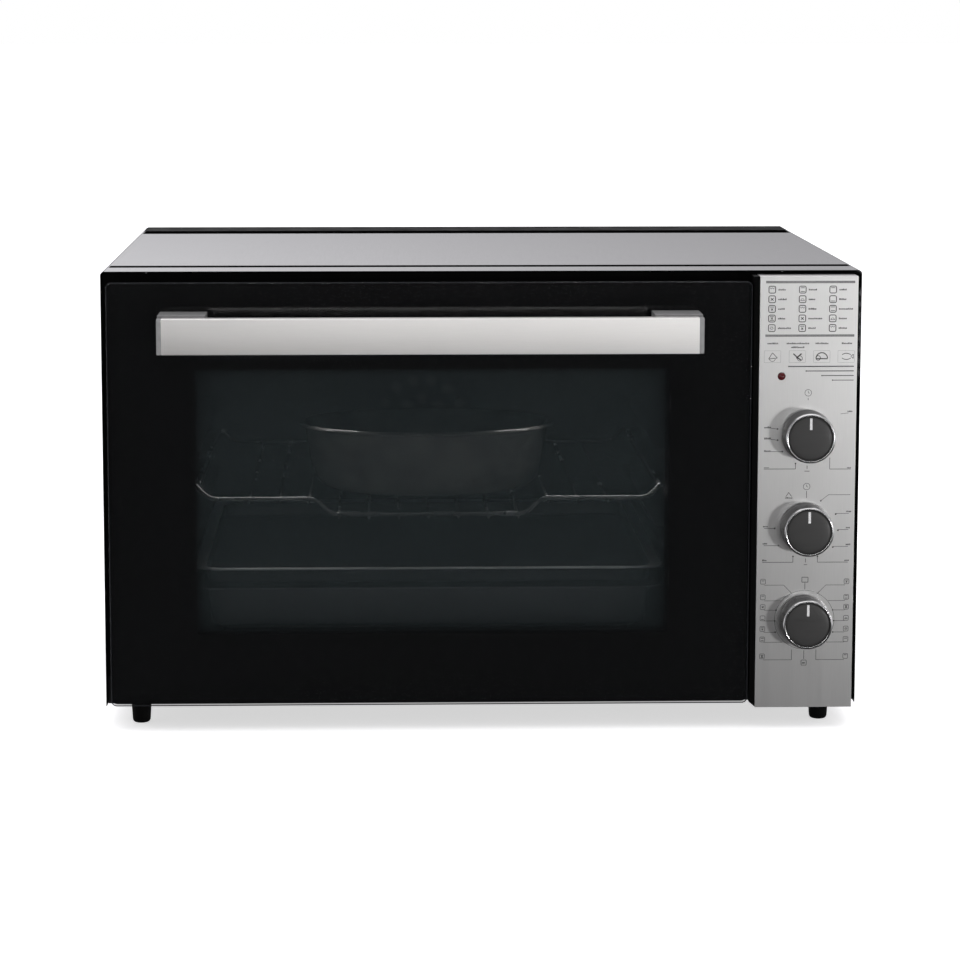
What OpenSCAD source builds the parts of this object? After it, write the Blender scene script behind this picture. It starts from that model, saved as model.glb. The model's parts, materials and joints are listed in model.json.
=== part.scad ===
// Countertop toaster oven with a drop-down glass door, three dials and a fan.
// +X is the viewer's right, the front faces -Y and +Z is up. The origin lies on the
// ground, in the middle of the whole object.
// Depths called "deep" are measured backwards from the front face of the door glass.

/* [Casing] */
// Width over the outer cover
body_w = 665; // [660:1:680]
// Depth of the outer cover, front edge to rear edge
body_d = 480; // [480:1:500]
// Height of the outer cover
body_h = 386.5; // [386:0.5:400]
// Height of the feet under the casing
foot_h = 19; // [16:1:24]
// Thickness of the casing sheets
sheet = 0.8; // [0.6:0.1:1.2]
// Radius of the two long top edges of the cover
cover_r = 3.5; // [2:0.5:6]
// How far the cover's front edge stands behind the door glass
cover_set = 20; // [18:1:22]
// How far the cord gland reaches behind the cover
gland_out = 10; // [6:1:14]

/* [Door] */
// Width of the door glass
door_w = 560.4; // [558:0.2:562]
// Height of the door glass
door_h = 374.2; // [370:0.2:376]
// Middle of the door and of the oven cavity, from the middle of the casing
door_x = -46.1; // [-47:0.1:-45]
// Bottom edge of the door glass above the ground
door_z = 23.7; // [23:0.1:25]
// Thickness of the door glass
glass_t = 4; // [3:0.5:4]
// Depth of the door behind the front face of its glass
door_t = 20; // [18:1:20]
// Height of the hinge axis above the ground
hinge_z = 33; // [32:0.5:34]
// Depth of the hinge axis
hinge_deep = 12; // [11:0.5:12.5]
// Radius of the hinge pins
pin_r = 3; // [2:0.5:3.5]

/* [Handle] */
// Length of the handle bar with its end caps
handle_w = 466.5; // [420:0.5:480]
// Height of the handle bar's section
handle_h = 31; // [24:0.5:34]
// Height of the middle of the handle above the ground
handle_z = 355.5; // [340:0.5:360]
// Distance from the glass to the front of the handle bar
handle_out = 44; // [38:1:50]
// Thickness of the handle bar, front to back
bar_t = 12; // [10:0.5:14]

/* [Cavity] */
// Width inside the oven cavity
cavity_w = 432; // [430:1:436]
// Height of the cavity floor above the ground
floor_z = 58; // [56:1:60]
// Height of the cavity ceiling above the ground
ceiling_z = 366; // [360:1:368]
// Depth of the cavity's rear wall
cavity_deep = 440; // [436:1:442]

/* [Controls] */
// Distance of the three dials from the middle of the casing
dial_x = 283.2; // [280:0.2:286]
// Height of the lowest dial's axis
dial_z = 98.5; // [95:0.5:105]
// Distance between neighbouring dials
dial_pitch = 82.2; // [78:0.2:86]
// Radius of a dial at its base
dial_r = 22.5; // [20:0.5:24]
// Radius of a dial's shaft
shaft_r = 3; // [2.5:0.5:3]

/* [Shelves] */
// Height of the rail that the drip tray hangs on
rail_low = 118; // [117:0.5:119]
// Height of the rail that the baking tray hangs on
rail_first = 135.6; // [135:0.2:137]
// Distance between the rails above it
rail_pitch = 35.2; // [35:0.1:36]
// Radius of the frame wires of the rack
wire_r = 2; // [1.8:0.1:2.2]

/* [Hidden] */
$fn = 48;
eps = 0.01;
bend_swell = 1.02;
sheet_fit = 0.8;

// Whole object
total_d = handle_out + cover_set + body_d + gland_out;
front_y = handle_out - total_d / 2;
half_w = body_w / 2;
top_z = foot_h + body_h;
rear_deep = cover_set + body_d;
frame_deep = cover_set + 2;
frame_t = 1;
back_deep = rear_deep - 10;
plate_deep = frame_deep + 8;
plate_top = hinge_z + 13;

// Cover channels, each [depth of its front wall, width, depth below the top]
channels = [[cover_set + 37, 17, 1.7], [cover_set + 396, 34, 3.2]];
channel_end = 4;
slot_pitch = 12;
slot_h = 4;

// Door
door_x0 = door_x - door_w / 2;
door_x1 = door_x + door_w / 2;
door_top = door_z + door_h;
pan_in = 4;
pan_t = 1.2;
window_w = 414;
window_z0 = 86.6;
window_z1 = 321.8;
inner_over = 10;
inner_t = 3;
hinge_xs = [door_x0 + 26, door_x1 - 26];
arm_r = 6;
run = 0.06;
ear_t = 2.5;
cheek_t = 3;
cheek_x = 1.75;
spring_x = 5.2;
spring_coils = 4;
spring_wire = 1.6;

// Handle
cap_t = 4;
bracket_w = 41;
bracket_down = 13;
bracket_up = 17.2;
handle_x0 = door_x - handle_w / 2;
handle_x1 = door_x + handle_w / 2;
bracket_xs = [handle_x0 + bracket_w / 2, handle_x1 - bracket_w / 2];

// Cavity
wall = 0.7;
cav_front = frame_deep + frame_t;
cav_x0 = door_x - cavity_w / 2;
cav_x1 = door_x + cavity_w / 2;
rails = [rail_low, rail_first, for (i = [1:3]) rail_first + rail_pitch * i];
rail_w = 12;
rail_t = 1.2;
rail_from = 65;
rail_to = 400;
rail_gap = 0.3;
shield_x = 214;
shield_t = 0.7;
shield_top = 392;
mat_t = 16;

// Heating elements: the path of each tube, as [distance from door_x, depth]
tube_r = 3.25;
upper_path = [[238, 392], [-189, 392], [-189, 95], [189, 95], [189, 362], [238, 362]];
lower_path = [[238, 392], [-189, 392], [-189, 120], [189, 120], [189, 362], [238, 362]];
upper_z = ceiling_z - 16;
lower_z = floor_z + 12;

// Lamp and thermostat bulb on the right-hand cavity wall
lamp_deep = 215;
lamp_z = ceiling_z - 46;
lamp_r = 17.5;
bulb_z = ceiling_z - 60;
bulb_deep = 300;

// Fan
fan_z = 215;
fan_r = 60;
guard_half = 80;
guard_deep = cavity_deep - 30;
guard_wall = 1;
wheel_gap = 6;
fan_shaft_r = 3;
motor_r = 32;
blades = 12;

// Control panel
panel_x0 = 240.5;
panel_x1 = 325.9;
panel_z0 = foot_h + 0.8;
panel_z1 = 402;
pilot_x = 260.1;
pilot_z = 314.7;
pilot_r = 3.5;
neck_r = 4.9;
neck_gap = 0.3;
dial_zs = [dial_z + 2 * dial_pitch, dial_z + dial_pitch, dial_z];
dial_out = 21;
dial_gap = 2;
face_r = 19.25;

// Feet and screws
foot_x = 303;
foot_deeps = [40, rear_deep - 32];
foot_r = 9;
screw_r = 2;
screw_hole = 2.1;
screw_head_z = 9;
rear_screw_places = [
    for (x = [-318, -106, 106, 318], z = [foot_h + 12, top_z - 14]) [x, z]
];

// Cord gland
gland_x = 270;
gland_z = foot_h + 46;
gland_r = 8;
gland_bore = 4.2;

// Rack, relative to door_x: its front and rear wires dip in the middle, and the rear
// wire stays level as far as the rails reach
rack_half = 207;
rack_from = 60;
rack_to = 384;
rack_top = rails[3] + rail_gap + wire_r;
rack_flat = rack_top - 11;
rack_drop = rack_flat - 14;
rack_dip = [[-101, rack_flat], [-87, rack_drop], [87, rack_drop], [101, rack_flat]];
front_ends = [[rack_half, rack_top], [rack_half - 11, rack_flat]];
rear_ends = [
    [rack_half, rack_top], [rack_half - 7, rack_top - 0.1], [rack_half - 17, rack_flat]
];
rung_r = 1.4;
rung_pitch = 26.75;
rung_sink = 0.4;

// Dish: each layer is [height, half width, half depth]
dish_deep = 190;
dish_z = rack_drop - wire_r + rung_sink + 0.05;
dish_t = 4;
dish_h = 67;
dish_layers = [
    [0, 66, 34], [3, 84, 50], [10, 99, 63], [22, 108, 70], [dish_h - 3, 116, 77]
];
dish_rim = 5;

// ---------- helpers ----------

// A box from x, depth and height ranges
module block(x, deep, z) {
    translate([x[0], front_y + deep[0], z[0]])
        cube([x[1] - x[0], deep[1] - deep[0], z[1] - z[0]]);
}

// A cylinder along X, Y or Z, starting at a point given as [x, depth, z]
module rod_x(p, length, r) {
    translate([p[0], front_y + p[1], p[2]]) rotate([0, 90, 0]) cylinder(h = length, r = r);
}

module rod_y(p, length, r) {
    translate([p[0], front_y + p[1], p[2]]) rotate([-90, 0, 0]) cylinder(h = length, r = r);
}

module rod_z(p, length, r) {
    translate([p[0], front_y + p[1], p[2]]) cylinder(h = length, r = r);
}

module ball(p, r) {
    translate([p[0], front_y + p[1], p[2]]) sphere(r = r);
}

// A flat rectangle with round corners
module round_rect(w, h, r) {
    hull()
        for (sx = [-1, 1], sy = [-1, 1])
            translate([sx * (w / 2 - r), sy * (h / 2 - r)]) circle(r = r);
}

// An outline drawn in X and Z, extruded backwards from a depth
module extrude_back(deep, length) {
    translate([0, front_y + deep + length, 0]) rotate([90, 0, 0]) linear_extrude(length) children();
}

// A straight tube between two points given as [x, depth, z]
module strut(a, b, r) {
    d = b - a;
    length = norm(d);
    translate([a[0], front_y + a[1], a[2]])
        rotate([0, acos(d[2] / length), atan2(d[1], d[0])])
            cylinder(h = length, r = r);
}

// A bent tube through points, with a slightly swollen ball at each bend
module bent_tube(points, r) {
    for (i = [0:len(points) - 2]) strut(points[i], points[i + 1], r);
    for (i = [1:len(points) - 2]) ball(points[i], r * bend_swell);
}

// ---------- casing ----------

module cover_outline(inset) {
    w = half_w - inset;
    h = top_z - inset;
    r = cover_r - inset;
    hull() {
        for (s = [-1, 1]) translate([s * (w - r), h - r]) circle(r = r);
        translate([-w, foot_h]) square([2 * w, 10]);
    }
}

module outer_cover() {
    color("#1b1b1d") {
        difference() {
            extrude_back(cover_set, body_d) difference() {
                cover_outline(0);
                translate([0, -eps]) cover_outline(sheet);
                translate([-half_w + sheet, foot_h - 1]) square([2 * (half_w - sheet), 5]);
            }
            for (c = channels)
                block([-half_w + channel_end, half_w - channel_end],
                    [c[0], c[0] + c[1]], [top_z - sheet - 1, top_z + 1]);
        }
        for (c = channels) channel_liner(c);
    }
}

// The sunk floor and walls of one channel pressed across the cover's top
module channel_liner(c) {
    x = half_w - channel_end;
    difference() {
        block([-x - sheet, x + sheet], [c[0] - sheet, c[0] + c[1] + sheet],
            [top_z - c[2] - sheet, top_z - sheet / 2]);
        block([-x, x], [c[0], c[0] + c[1]], [top_z - c[2], top_z + 1]);
    }
}

// A column of air slots through the back panel, upwards from z
module slots(x, z, count) {
    for (i = [0:count - 1])
        block(x, [back_deep - 1, back_deep + 2],
            [z + i * slot_pitch, z + i * slot_pitch + slot_h]);
}

module back_panel() {
    w = half_w - sheet - sheet_fit;
    color("#232325") difference() {
        block([-w, w], [back_deep, back_deep + sheet], [foot_h + sheet, top_z - sheet - sheet_fit]);
        slots([220, 310], 250, 8);
        slots([door_x - 60, door_x + 60], 160, 10);
        for (s = rear_screw_places) rod_y([s[0], back_deep - 1, s[1]], 4, 1.8);
        rod_y([gland_x, back_deep - 1, gland_z], 4, gland_r + 0.2);
    }
}

module rear_screws() {
    color("#8d8f92") for (s = rear_screw_places) {
        rod_y([s[0], back_deep - 6, s[1]], 7 + eps, 1.5);
        rod_y([s[0], back_deep + sheet, s[1]], 2.2, 3.8);
    }
}

module bottom_plate() {
    w = half_w - sheet - 0.2;
    color("#232325") difference() {
        union() {
            block([-w, w], [plate_deep, back_deep], [foot_h, foot_h + sheet]);
            block([-w, w], [plate_deep, plate_deep + frame_t], [foot_h, plate_top]);
        }
        for (x = [-1, 1], d = foot_deeps)
            rod_z([x * foot_x, d, foot_h - 1], 4, screw_hole);
        for (i = [0:11])
            block([door_x - 165 + i * 30, door_x - 159 + i * 30], [150, 330],
                [foot_h - 1, foot_h + 2]);
    }
}

module front_frame() {
    w = half_w - sheet - sheet_fit;
    color("#141416") difference() {
        union() {
            block([-w, w], [frame_deep, frame_deep + frame_t],
                [plate_top, top_z - sheet - sheet_fit]);
            block([-w, w], [frame_deep, plate_deep + frame_t], [plate_top, plate_top + frame_t]);
        }
        block([cav_x0, cav_x1], [frame_deep - 1, frame_deep + 3], [floor_z, ceiling_z]);
        for (z = dial_zs) rod_y([dial_x, frame_deep - 1, z], 4, neck_r + neck_gap);
        rod_y([pilot_x, frame_deep - 1, pilot_z], 4, pilot_r + 0.2);
    }
}

// ---------- cavity ----------

module cavity_top() {
    color("#3c4246") block([cav_x0, cav_x1], [cav_front, cavity_deep], [ceiling_z, ceiling_z + wall]);
}

module cavity_floor() {
    color("#3c4246") block([cav_x0, cav_x1], [cav_front, cavity_deep], [floor_z - wall, floor_z]);
}

module cavity_left() {
    color("#3c4246")
        block([cav_x0 - wall, cav_x0], [cav_front, cavity_deep + wall],
            [floor_z - wall, ceiling_z + wall]);
}

module cavity_right() {
    color("#3c4246") difference() {
        block([cav_x1, cav_x1 + wall], [cav_front, cavity_deep + wall],
            [floor_z - wall, ceiling_z + wall]);
        for (z = [upper_z, lower_z], d = [upper_path[0][1], upper_path[5][1]])
            rod_x([cav_x1 - 1, d, z], 4, tube_r + 0.3);
        rod_x([cav_x1 - 1, lamp_deep, lamp_z], 4, lamp_r - 1);
        rod_x([cav_x1 - 1, bulb_deep - 12, bulb_z], 4, 1.6);
    }
}

module cavity_back() {
    color("#3c4246") difference() {
        block([cav_x0, cav_x1], [cavity_deep, cavity_deep + wall],
            [floor_z - wall, ceiling_z + wall]);
        rod_y([door_x, cavity_deep - 1, fan_z], 4, 7);
    }
}

module shelf_rails() {
    color("#4a5054") for (z = rails) {
        block([cav_x0, cav_x0 + rail_w], [rail_from, rail_to], [z - rail_t, z]);
        block([cav_x1 - rail_w, cav_x1], [rail_from, rail_to], [z - rail_t, z]);
    }
}

module insulation_top() {
    color("#d8c98a")
        block([cav_x0, cav_x1], [cav_front + 6, cavity_deep - 4],
            [ceiling_z + wall, ceiling_z + wall + mat_t]);
}

module insulation_left() {
    color("#d8c98a")
        block([cav_x0 - wall - mat_t, cav_x0 - wall], [cav_front + 6, cavity_deep - 4],
            [floor_z, ceiling_z]);
}

module heat_shield() {
    notch_deep = plate_deep + frame_t;
    color("#b9bcbf") difference() {
        block([shield_x, shield_x + shield_t], [cav_front, back_deep - 4], [foot_h + sheet, shield_top]);
        block([shield_x - 1, shield_x + 2], [cav_front - 1, notch_deep],
            [foot_h, plate_top + frame_t]);
    }
}

// A bent tube heater whose two ends pass through the right-hand wall
module heater(path, z) {
    points = [for (p = path) [door_x + p[0], p[1], z]];
    bent_tube(points, tube_r);
    for (i = [0, len(points) - 1]) rod_x([door_x + 238, points[i][1], z], 14, 2);
}

module upper_element() {
    color("#6d6a66") heater(upper_path, upper_z);
}

module lower_element() {
    color("#6d6a66") heater(lower_path, lower_z);
}

module thermostat_bulb() {
    x = cav_x1 - 8;
    color("#b8855a") {
        rod_y([x, bulb_deep, bulb_z], 88, 3);
        rod_y([x, bulb_deep - 12, bulb_z], 13, 0.9);
        rod_x([x, bulb_deep - 12, bulb_z], 206 - x, 0.9);
        ball([x, bulb_deep - 12, bulb_z], 1.2);
    }
}

module lamp_holder() {
    color("#d9d6cc") difference() {
        rod_x([cav_x1 + wall, lamp_deep, lamp_z], 36, lamp_r + 3);
        rod_x([cav_x1, lamp_deep, lamp_z], 12, 10);
    }
}

module lamp_bulb() {
    color("#f2efe2") {
        rod_x([cav_x1 - 2, lamp_deep, lamp_z], 14, 6.5);
        ball([cav_x1 - 2, lamp_deep, lamp_z], 6.5);
    }
}

module lamp_glass() {
    color("#cfe3e0") translate([cav_x1 - 13, front_y + lamp_deep, lamp_z]) rotate([0, 90, 0])
        rotate_extrude() polygon([
            [0, 0], [12, 0], [lamp_r, 5], [lamp_r, 13],
            [lamp_r - 2, 13], [lamp_r - 2, 6], [11.4, 2], [0, 2]
        ]);
}

// ---------- fan ----------

module fan_guard() {
    color("#2a2d30") difference() {
        block([door_x - guard_half, door_x + guard_half], [guard_deep, cavity_deep],
            [fan_z - guard_half, fan_z + guard_half]);
        block([door_x - guard_half + guard_wall, door_x + guard_half - guard_wall],
            [guard_deep + guard_wall, cavity_deep + 1],
            [fan_z - guard_half + guard_wall, fan_z + guard_half - guard_wall]);
        for (ring = [[22, 8], [42, 14]], i = [0:ring[1] - 1]) {
            a = i * 360 / ring[1];
            rod_y([door_x + ring[0] * cos(a), guard_deep - 1, fan_z + ring[0] * sin(a)], 4, 5.5);
        }
    }
}

module fan_wheel() {
    deep = guard_deep + wheel_gap;
    color("#a9acae") difference() {
        union() {
            rod_y([door_x, deep + 12, fan_z], 1.2, fan_r);
            rod_y([door_x, deep, fan_z], 14, 7);
            for (i = [0:blades - 1])
                translate([door_x, front_y + deep, fan_z]) rotate([0, i * 360 / blades, 0])
                    translate([fan_r * 0.45, 0, -0.6]) cube([fan_r * 0.53, 12.5, 1.2]);
        }
        rod_y([door_x, deep - 1, fan_z], 20, fan_shaft_r);
    }
}

module fan_shaft() {
    color("#c9cbcd") rod_y([door_x, guard_deep + wheel_gap, fan_z], 58, fan_shaft_r);
}

module fan_motor() {
    color("#55595c") difference() {
        union() {
            rod_y([door_x, cavity_deep + wall + 6, fan_z], 34, motor_r);
            block([door_x - 48, door_x + 48], [cavity_deep + wall + 4, cavity_deep + wall + 6],
                [fan_z - 12, fan_z + 12]);
            for (s = [-1, 1])
                rod_y([door_x + s * 42, cavity_deep + wall, fan_z], 4 + eps, 4);
        }
        rod_y([door_x, cavity_deep, fan_z], 36, fan_shaft_r + run);
    }
}

// ---------- controls ----------

module control_panel() {
    color("#c9c8c4") difference() {
        block([panel_x0, panel_x1], [0, frame_deep], [panel_z0, panel_z1]);
        block([panel_x0 + sheet, panel_x1 - sheet], [sheet, frame_deep + 1],
            [panel_z0 + sheet, panel_z1 - sheet]);
        for (z = dial_zs) rod_y([dial_x, -1, z], 4, neck_r + neck_gap);
        rod_y([pilot_x, -1, pilot_z], 4, pilot_r);
    }
}

module filler_strip() {
    color("#161618") extrude_back(1, frame_deep - 1) polygon([
        [door_x1 + 1.2, door_z + 0.8], [panel_x0 - 0.1, panel_z0 + 0.4],
        [panel_x0 - 0.1, panel_z1], [door_x1 + 1.2, panel_z1]
    ]);
}

module pilot_lamp() {
    color("#7d2a2c") {
        translate([pilot_x, front_y - 1.4, pilot_z]) rotate([-90, 0, 0])
            cylinder(h = 2.4, r1 = 2.4, r2 = pilot_r - 0.1);
        rod_y([pilot_x, 1 - eps, pilot_z], 34, pilot_r - 0.1);
    }
}

// A switch body behind the frame, with a threaded neck round the shaft
module switch_body(z, w, h, d) {
    difference() {
        union() {
            block([dial_x - w / 2, dial_x + w / 2], [cav_front, cav_front + d], [z - h / 2, z + h / 2]);
            rod_y([dial_x, -1, z], cav_front + 2, neck_r);
        }
        rod_y([dial_x, -2, z], cav_front + 22, shaft_r + run);
    }
}

module timer_body() {
    color("#c7c2b4") switch_body(dial_zs[0], 52, 52, 34);
}

module thermostat_body() {
    color("#d6d0c2") switch_body(dial_zs[1], 46, 38, 28);
}

module selector_body() {
    color("#e0ddd4") switch_body(dial_zs[2], 44, 44, 46);
}

module dial_shaft(z) {
    color("#b9a15c") rod_y([dial_x, -14, z], cav_front + 30, shaft_r);
}

// The metal cup of a dial, sunk in front for its dark face
module dial_knob(z) {
    color("#d2d3d5") translate([dial_x, front_y - dial_gap, z]) rotate([90, 0, 0])
        difference() {
            rotate_extrude() polygon([
                [0, 0], [dial_r, 0], [dial_r, 2.5], [dial_r - 0.9, dial_out - 2.6],
                [dial_r - 1.8, dial_out - 0.6], [dial_r - 2.6, dial_out - 1],
                [face_r, dial_out - 2], [face_r, dial_out - 3], [0, dial_out - 3]
            ]);
            translate([0, 0, -1]) cylinder(h = 13, r = shaft_r);
        }
}

module dial_face(z) {
    color("#3e3d3b") translate([dial_x, front_y - dial_gap - dial_out + 3, z]) rotate([90, 0, 0])
        rotate_extrude() polygon([
            [0, 0], [face_r - 0.05, 0], [face_r - 0.05, 1], [face_r - 0.8, 1.6], [0, 1.9]
        ]);
}

module timer_shaft() { dial_shaft(dial_zs[0]); }
module timer_knob() { dial_knob(dial_zs[0]); }
module timer_face() { dial_face(dial_zs[0]); }
module thermostat_shaft() { dial_shaft(dial_zs[1]); }
module thermostat_knob() { dial_knob(dial_zs[1]); }
module thermostat_face() { dial_face(dial_zs[1]); }
module selector_shaft() { dial_shaft(dial_zs[2]); }
module selector_knob() { dial_knob(dial_zs[2]); }
module selector_face() { dial_face(dial_zs[2]); }

// ---------- base ----------

module feet() {
    color("#1a1a1b") for (x = [-1, 1], d = foot_deeps)
        translate([x * foot_x, front_y + d, 0]) rotate_extrude() polygon([
            [4.6, 0], [foot_r - 2.6, 0], [foot_r - 1.2, 0.8], [foot_r - 0.7, 2],
            [foot_r, foot_h], [screw_hole, foot_h], [screw_hole, screw_head_z],
            [4.6, screw_head_z]
        ]);
}

module foot_screws() {
    color("#8d8f92") for (x = [-1, 1], d = foot_deeps) {
        rod_z([x * foot_x, d, screw_head_z - eps], foot_h, screw_r);
        rod_z([x * foot_x, d, screw_head_z - 2.6], 2.6, 4);
    }
}

module cord_gland() {
    color("#202022") difference() {
        union() {
            rod_y([gland_x, back_deep - 12, gland_z], rear_deep + gland_out - back_deep + 12,
                gland_r);
            rod_y([gland_x, back_deep + sheet, gland_z], 4, 12);
            rod_y([gland_x, back_deep - 4, gland_z], 4, 10);
        }
        rod_y([gland_x, back_deep - 14, gland_z], 60, gland_bore);
    }
}

module terminal_block() {
    color("#e8e4d8") difference() {
        block([228, 276], [420, 444], [foot_h + sheet, foot_h + 18]);
        for (i = [0:2]) rod_z([238 + i * 14, 432, foot_h + 8], 14, 3);
    }
}

// ---------- door ----------

module door_seal() {
    w = cavity_w + 24;
    h = ceiling_z - floor_z + 20;
    color("#5c5f61") extrude_back(door_t + 0.3, frame_deep - door_t - 0.3)
        translate([door_x, (ceiling_z + floor_z) / 2]) difference() {
            round_rect(w, h, 12);
            round_rect(w - 14, h - 14, 6);
        }
}

module hinge_brackets() {
    color("#9b9ea1") for (x = hinge_xs) difference() {
        union() {
            rod_x([x - ear_t / 2, hinge_deep, hinge_z], ear_t, arm_r);
            block([x - ear_t / 2, x + ear_t / 2], [hinge_deep, plate_deep],
                [hinge_z - arm_r, hinge_z + arm_r]);
            block([x - 12, x + 12], [plate_deep - 1.5, plate_deep], [hinge_z - 9, hinge_z + 11]);
        }
        rod_x([x - ear_t, hinge_deep, hinge_z], 2 * ear_t, pin_r);
    }
}

module hinge_pins() {
    color("#c3c6c9") for (x = hinge_xs)
        rod_x([x - 6, hinge_deep, hinge_z], 19, pin_r);
}

// Torsion spring round each pin, drawn as touching turns
module hinge_springs() {
    color("#a4a7aa") for (x = hinge_xs)
        translate([x + spring_x, front_y + hinge_deep, hinge_z]) rotate([0, 90, 0])
            rotate_extrude() for (i = [0:spring_coils - 1])
                translate([4.6, 0.8 + i * spring_wire * 0.94]) circle(d = spring_wire, $fn = 12);
}

module hinge_arms() {
    color("#9b9ea1") for (x = hinge_xs) difference() {
        union() {
            for (s = [-1, 1]) {
                x0 = x + s * cheek_x - (s < 0 ? cheek_t : 0);
                rod_x([x0, hinge_deep, hinge_z], cheek_t, arm_r);
                block([x0, x0 + cheek_t], [hinge_deep - arm_r, hinge_deep + arm_r],
                    [hinge_z, hinge_z + 12]);
                block([x0, x0 + cheek_t], [hinge_deep - arm_r, door_t - pan_t],
                    [hinge_z + 12, hinge_z + 80]);
            }
            block([x - cheek_x - cheek_t, x + cheek_x + cheek_t],
                [hinge_deep - arm_r, hinge_deep - arm_r + 2], [hinge_z + 14, hinge_z + 80]);
        }
        rod_x([x - 10, hinge_deep, hinge_z], 20, pin_r + run);
    }
}

module door_glass() {
    color("#101113") difference() {
        extrude_back(0, glass_t)
            translate([door_x, door_z + door_h / 2]) round_rect(door_w, door_h, 4);
        for (x = bracket_xs) rod_y([x, -1, handle_z], glass_t + 2, 3);
    }
}

// Pressed steel pan behind the glass, with the window and two hinge notches
module door_frame() {
    x0 = door_x0 + pan_in;
    x1 = door_x1 - pan_in;
    z0 = door_z + pan_in;
    z1 = door_top - pan_in;
    color("#1d1e20") difference() {
        block([x0, x1], [glass_t, door_t], [z0, z1]);
        block([x0 + pan_t, x1 - pan_t], [glass_t - 1, door_t - pan_t], [z0 + pan_t, z1 - pan_t]);
        block([door_x - window_w / 2, door_x + window_w / 2], [glass_t, door_t + 1],
            [window_z0, window_z1]);
        for (x = hinge_xs)
            block([x - 7, x + 14.5], [glass_t - 1, door_t + 1], [z0 - 1, hinge_z + arm_r + 2]);
    }
}

module inner_glass() {
    color("#2c3336")
        block([door_x - window_w / 2 - inner_over, door_x + window_w / 2 + inner_over],
            [door_t - pan_t - inner_t, door_t - pan_t],
            [window_z0 - inner_over, window_z1 + inner_over]);
}

module glass_clips() {
    edge = window_w / 2 + inner_over;
    color("#a4a7aa") for (s = [-1, 1], z = [window_z0 + 40, window_z1 - 40]) {
        a = door_x + s * (edge + 0.2);
        b = door_x + s * (edge + 10);
        c = door_x + s * (edge - 6);
        block([min(a, b), max(a, b)], [door_t - pan_t - inner_t - 1.2, door_t - pan_t], [z, z + 14]);
        block([min(b, c), max(b, c)],
            [door_t - pan_t - inner_t - 1.2, door_t - pan_t - inner_t], [z, z + 14]);
    }
}

// ---------- handle ----------

module bar_outline() {
    hull() {
        for (s = [-1, 1]) translate([-bar_t + 2.5, s * (handle_h / 2 - 2.5)]) circle(r = 2.5);
        for (s = [-1, 1]) translate([-1, s * (handle_h / 2 - 1)]) circle(r = 1);
    }
}

// A length of the handle's section, from one x to another
module bar_length(x0, x1) {
    translate([x0, front_y - handle_out + bar_t, handle_z])
        rotate([90, 0, 90]) linear_extrude(x1 - x0) bar_outline();
}

module handle_bar() {
    color("#d0cec8") bar_length(handle_x0 + cap_t, handle_x1 - cap_t);
}

module handle_caps() {
    color("#8f9092") {
        bar_length(handle_x0, handle_x0 + cap_t);
        bar_length(handle_x1 - cap_t, handle_x1);
    }
}

module handle_brackets() {
    color("#77787b") for (x = bracket_xs) difference() {
        block([x - bracket_w / 2, x + bracket_w / 2], [bar_t - handle_out, 0],
            [handle_z - bracket_down, handle_z + bracket_up]);
        rod_y([x, -16, handle_z], 20, 2.5);
    }
}

module handle_screws() {
    color("#8d8f92") for (x = bracket_xs) {
        rod_y([x, -15, handle_z], 15 + glass_t + eps, 2.5);
        rod_y([x, glass_t, handle_z], 3, 5);
    }
}

// ---------- shelves ----------

// A cross wire of the rack at one depth, from the points of its right-hand end
module cross_wire(deep, ends) {
    last = len(ends) - 1;
    path = concat(
        [for (p = ends) [-p[0], p[1]]], rack_dip, [for (i = [0:last]) ends[last - i]]
    );
    bent_tube([for (p = path) [door_x + p[0], deep, p[1]]], wire_r);
}

module wire_rack() {
    color("#c4c6c8") {
        cross_wire(rack_from, front_ends);
        cross_wire(rack_to, rear_ends);
        for (s = [-1, 1]) {
            strut([door_x + s * rack_half, rack_from, rack_top],
                [door_x + s * rack_half, rack_to, rack_top], wire_r);
            for (d = [rack_from, rack_to])
                ball([door_x + s * rack_half, d, rack_top], wire_r * bend_swell);
        }
        for (k = [-6:6]) {
            z = (abs(k) <= 3 ? rack_drop : rack_flat) - wire_r - rung_r + rung_sink;
            rod_y([door_x + k * rung_pitch, rack_from - 3, z], rack_to - rack_from + 6, rung_r);
        }
    }
}

// The convex form through the dish's layers, shrunk by inset
module dish_form(inset, lift) {
    hull() for (l = dish_layers)
        translate([0, 0, l[0] + lift]) linear_extrude(0.5)
            scale([l[1] - inset, l[2] - inset]) circle(r = 1, $fn = 40);
}

module roasting_dish() {
    color("#4b4844") translate([door_x, front_y + dish_deep, dish_z]) difference() {
        union() {
            dish_form(0, 0);
            translate([0, 0, dish_h - 4]) linear_extrude(4)
                scale([116 + dish_rim, 77 + dish_rim]) circle(r = 1, $fn = 40);
        }
        dish_form(dish_t, dish_t);
        translate([0, 0, dish_h - 2]) linear_extrude(10)
            scale([116 - dish_t, 77 - dish_t]) circle(r = 1, $fn = 40);
    }
}

// A pressed tray hung by its rim: body width, depth range, rim height and body height
module tray(w, deep, rim_z, h) {
    t = 1;
    rim = 9;
    length = deep[1] - deep[0];
    translate([door_x, front_y + deep[0] + length / 2, 0]) {
        difference() {
            translate([0, 0, rim_z - h]) linear_extrude(h + t) round_rect(w, length - 2 * rim, 16);
            translate([0, 0, rim_z - h + t]) linear_extrude(h + 1)
                round_rect(w - 2 * t, length - 2 * rim - 2 * t, 15);
        }
        translate([0, 0, rim_z]) linear_extrude(t) difference() {
            round_rect(w + 2 * rim, length, 20);
            round_rect(w - 2 * t, length - 2 * rim - 2 * t, 15);
        }
    }
}

module baking_tray() {
    color("#2f3133") tray(402, [46, 392], rails[1] + rail_gap, 14.8);
}

module drip_tray() {
    color("#3a3c3f") tray(402, [46, 392], rails[0] + rail_gap, 37);
}

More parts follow.
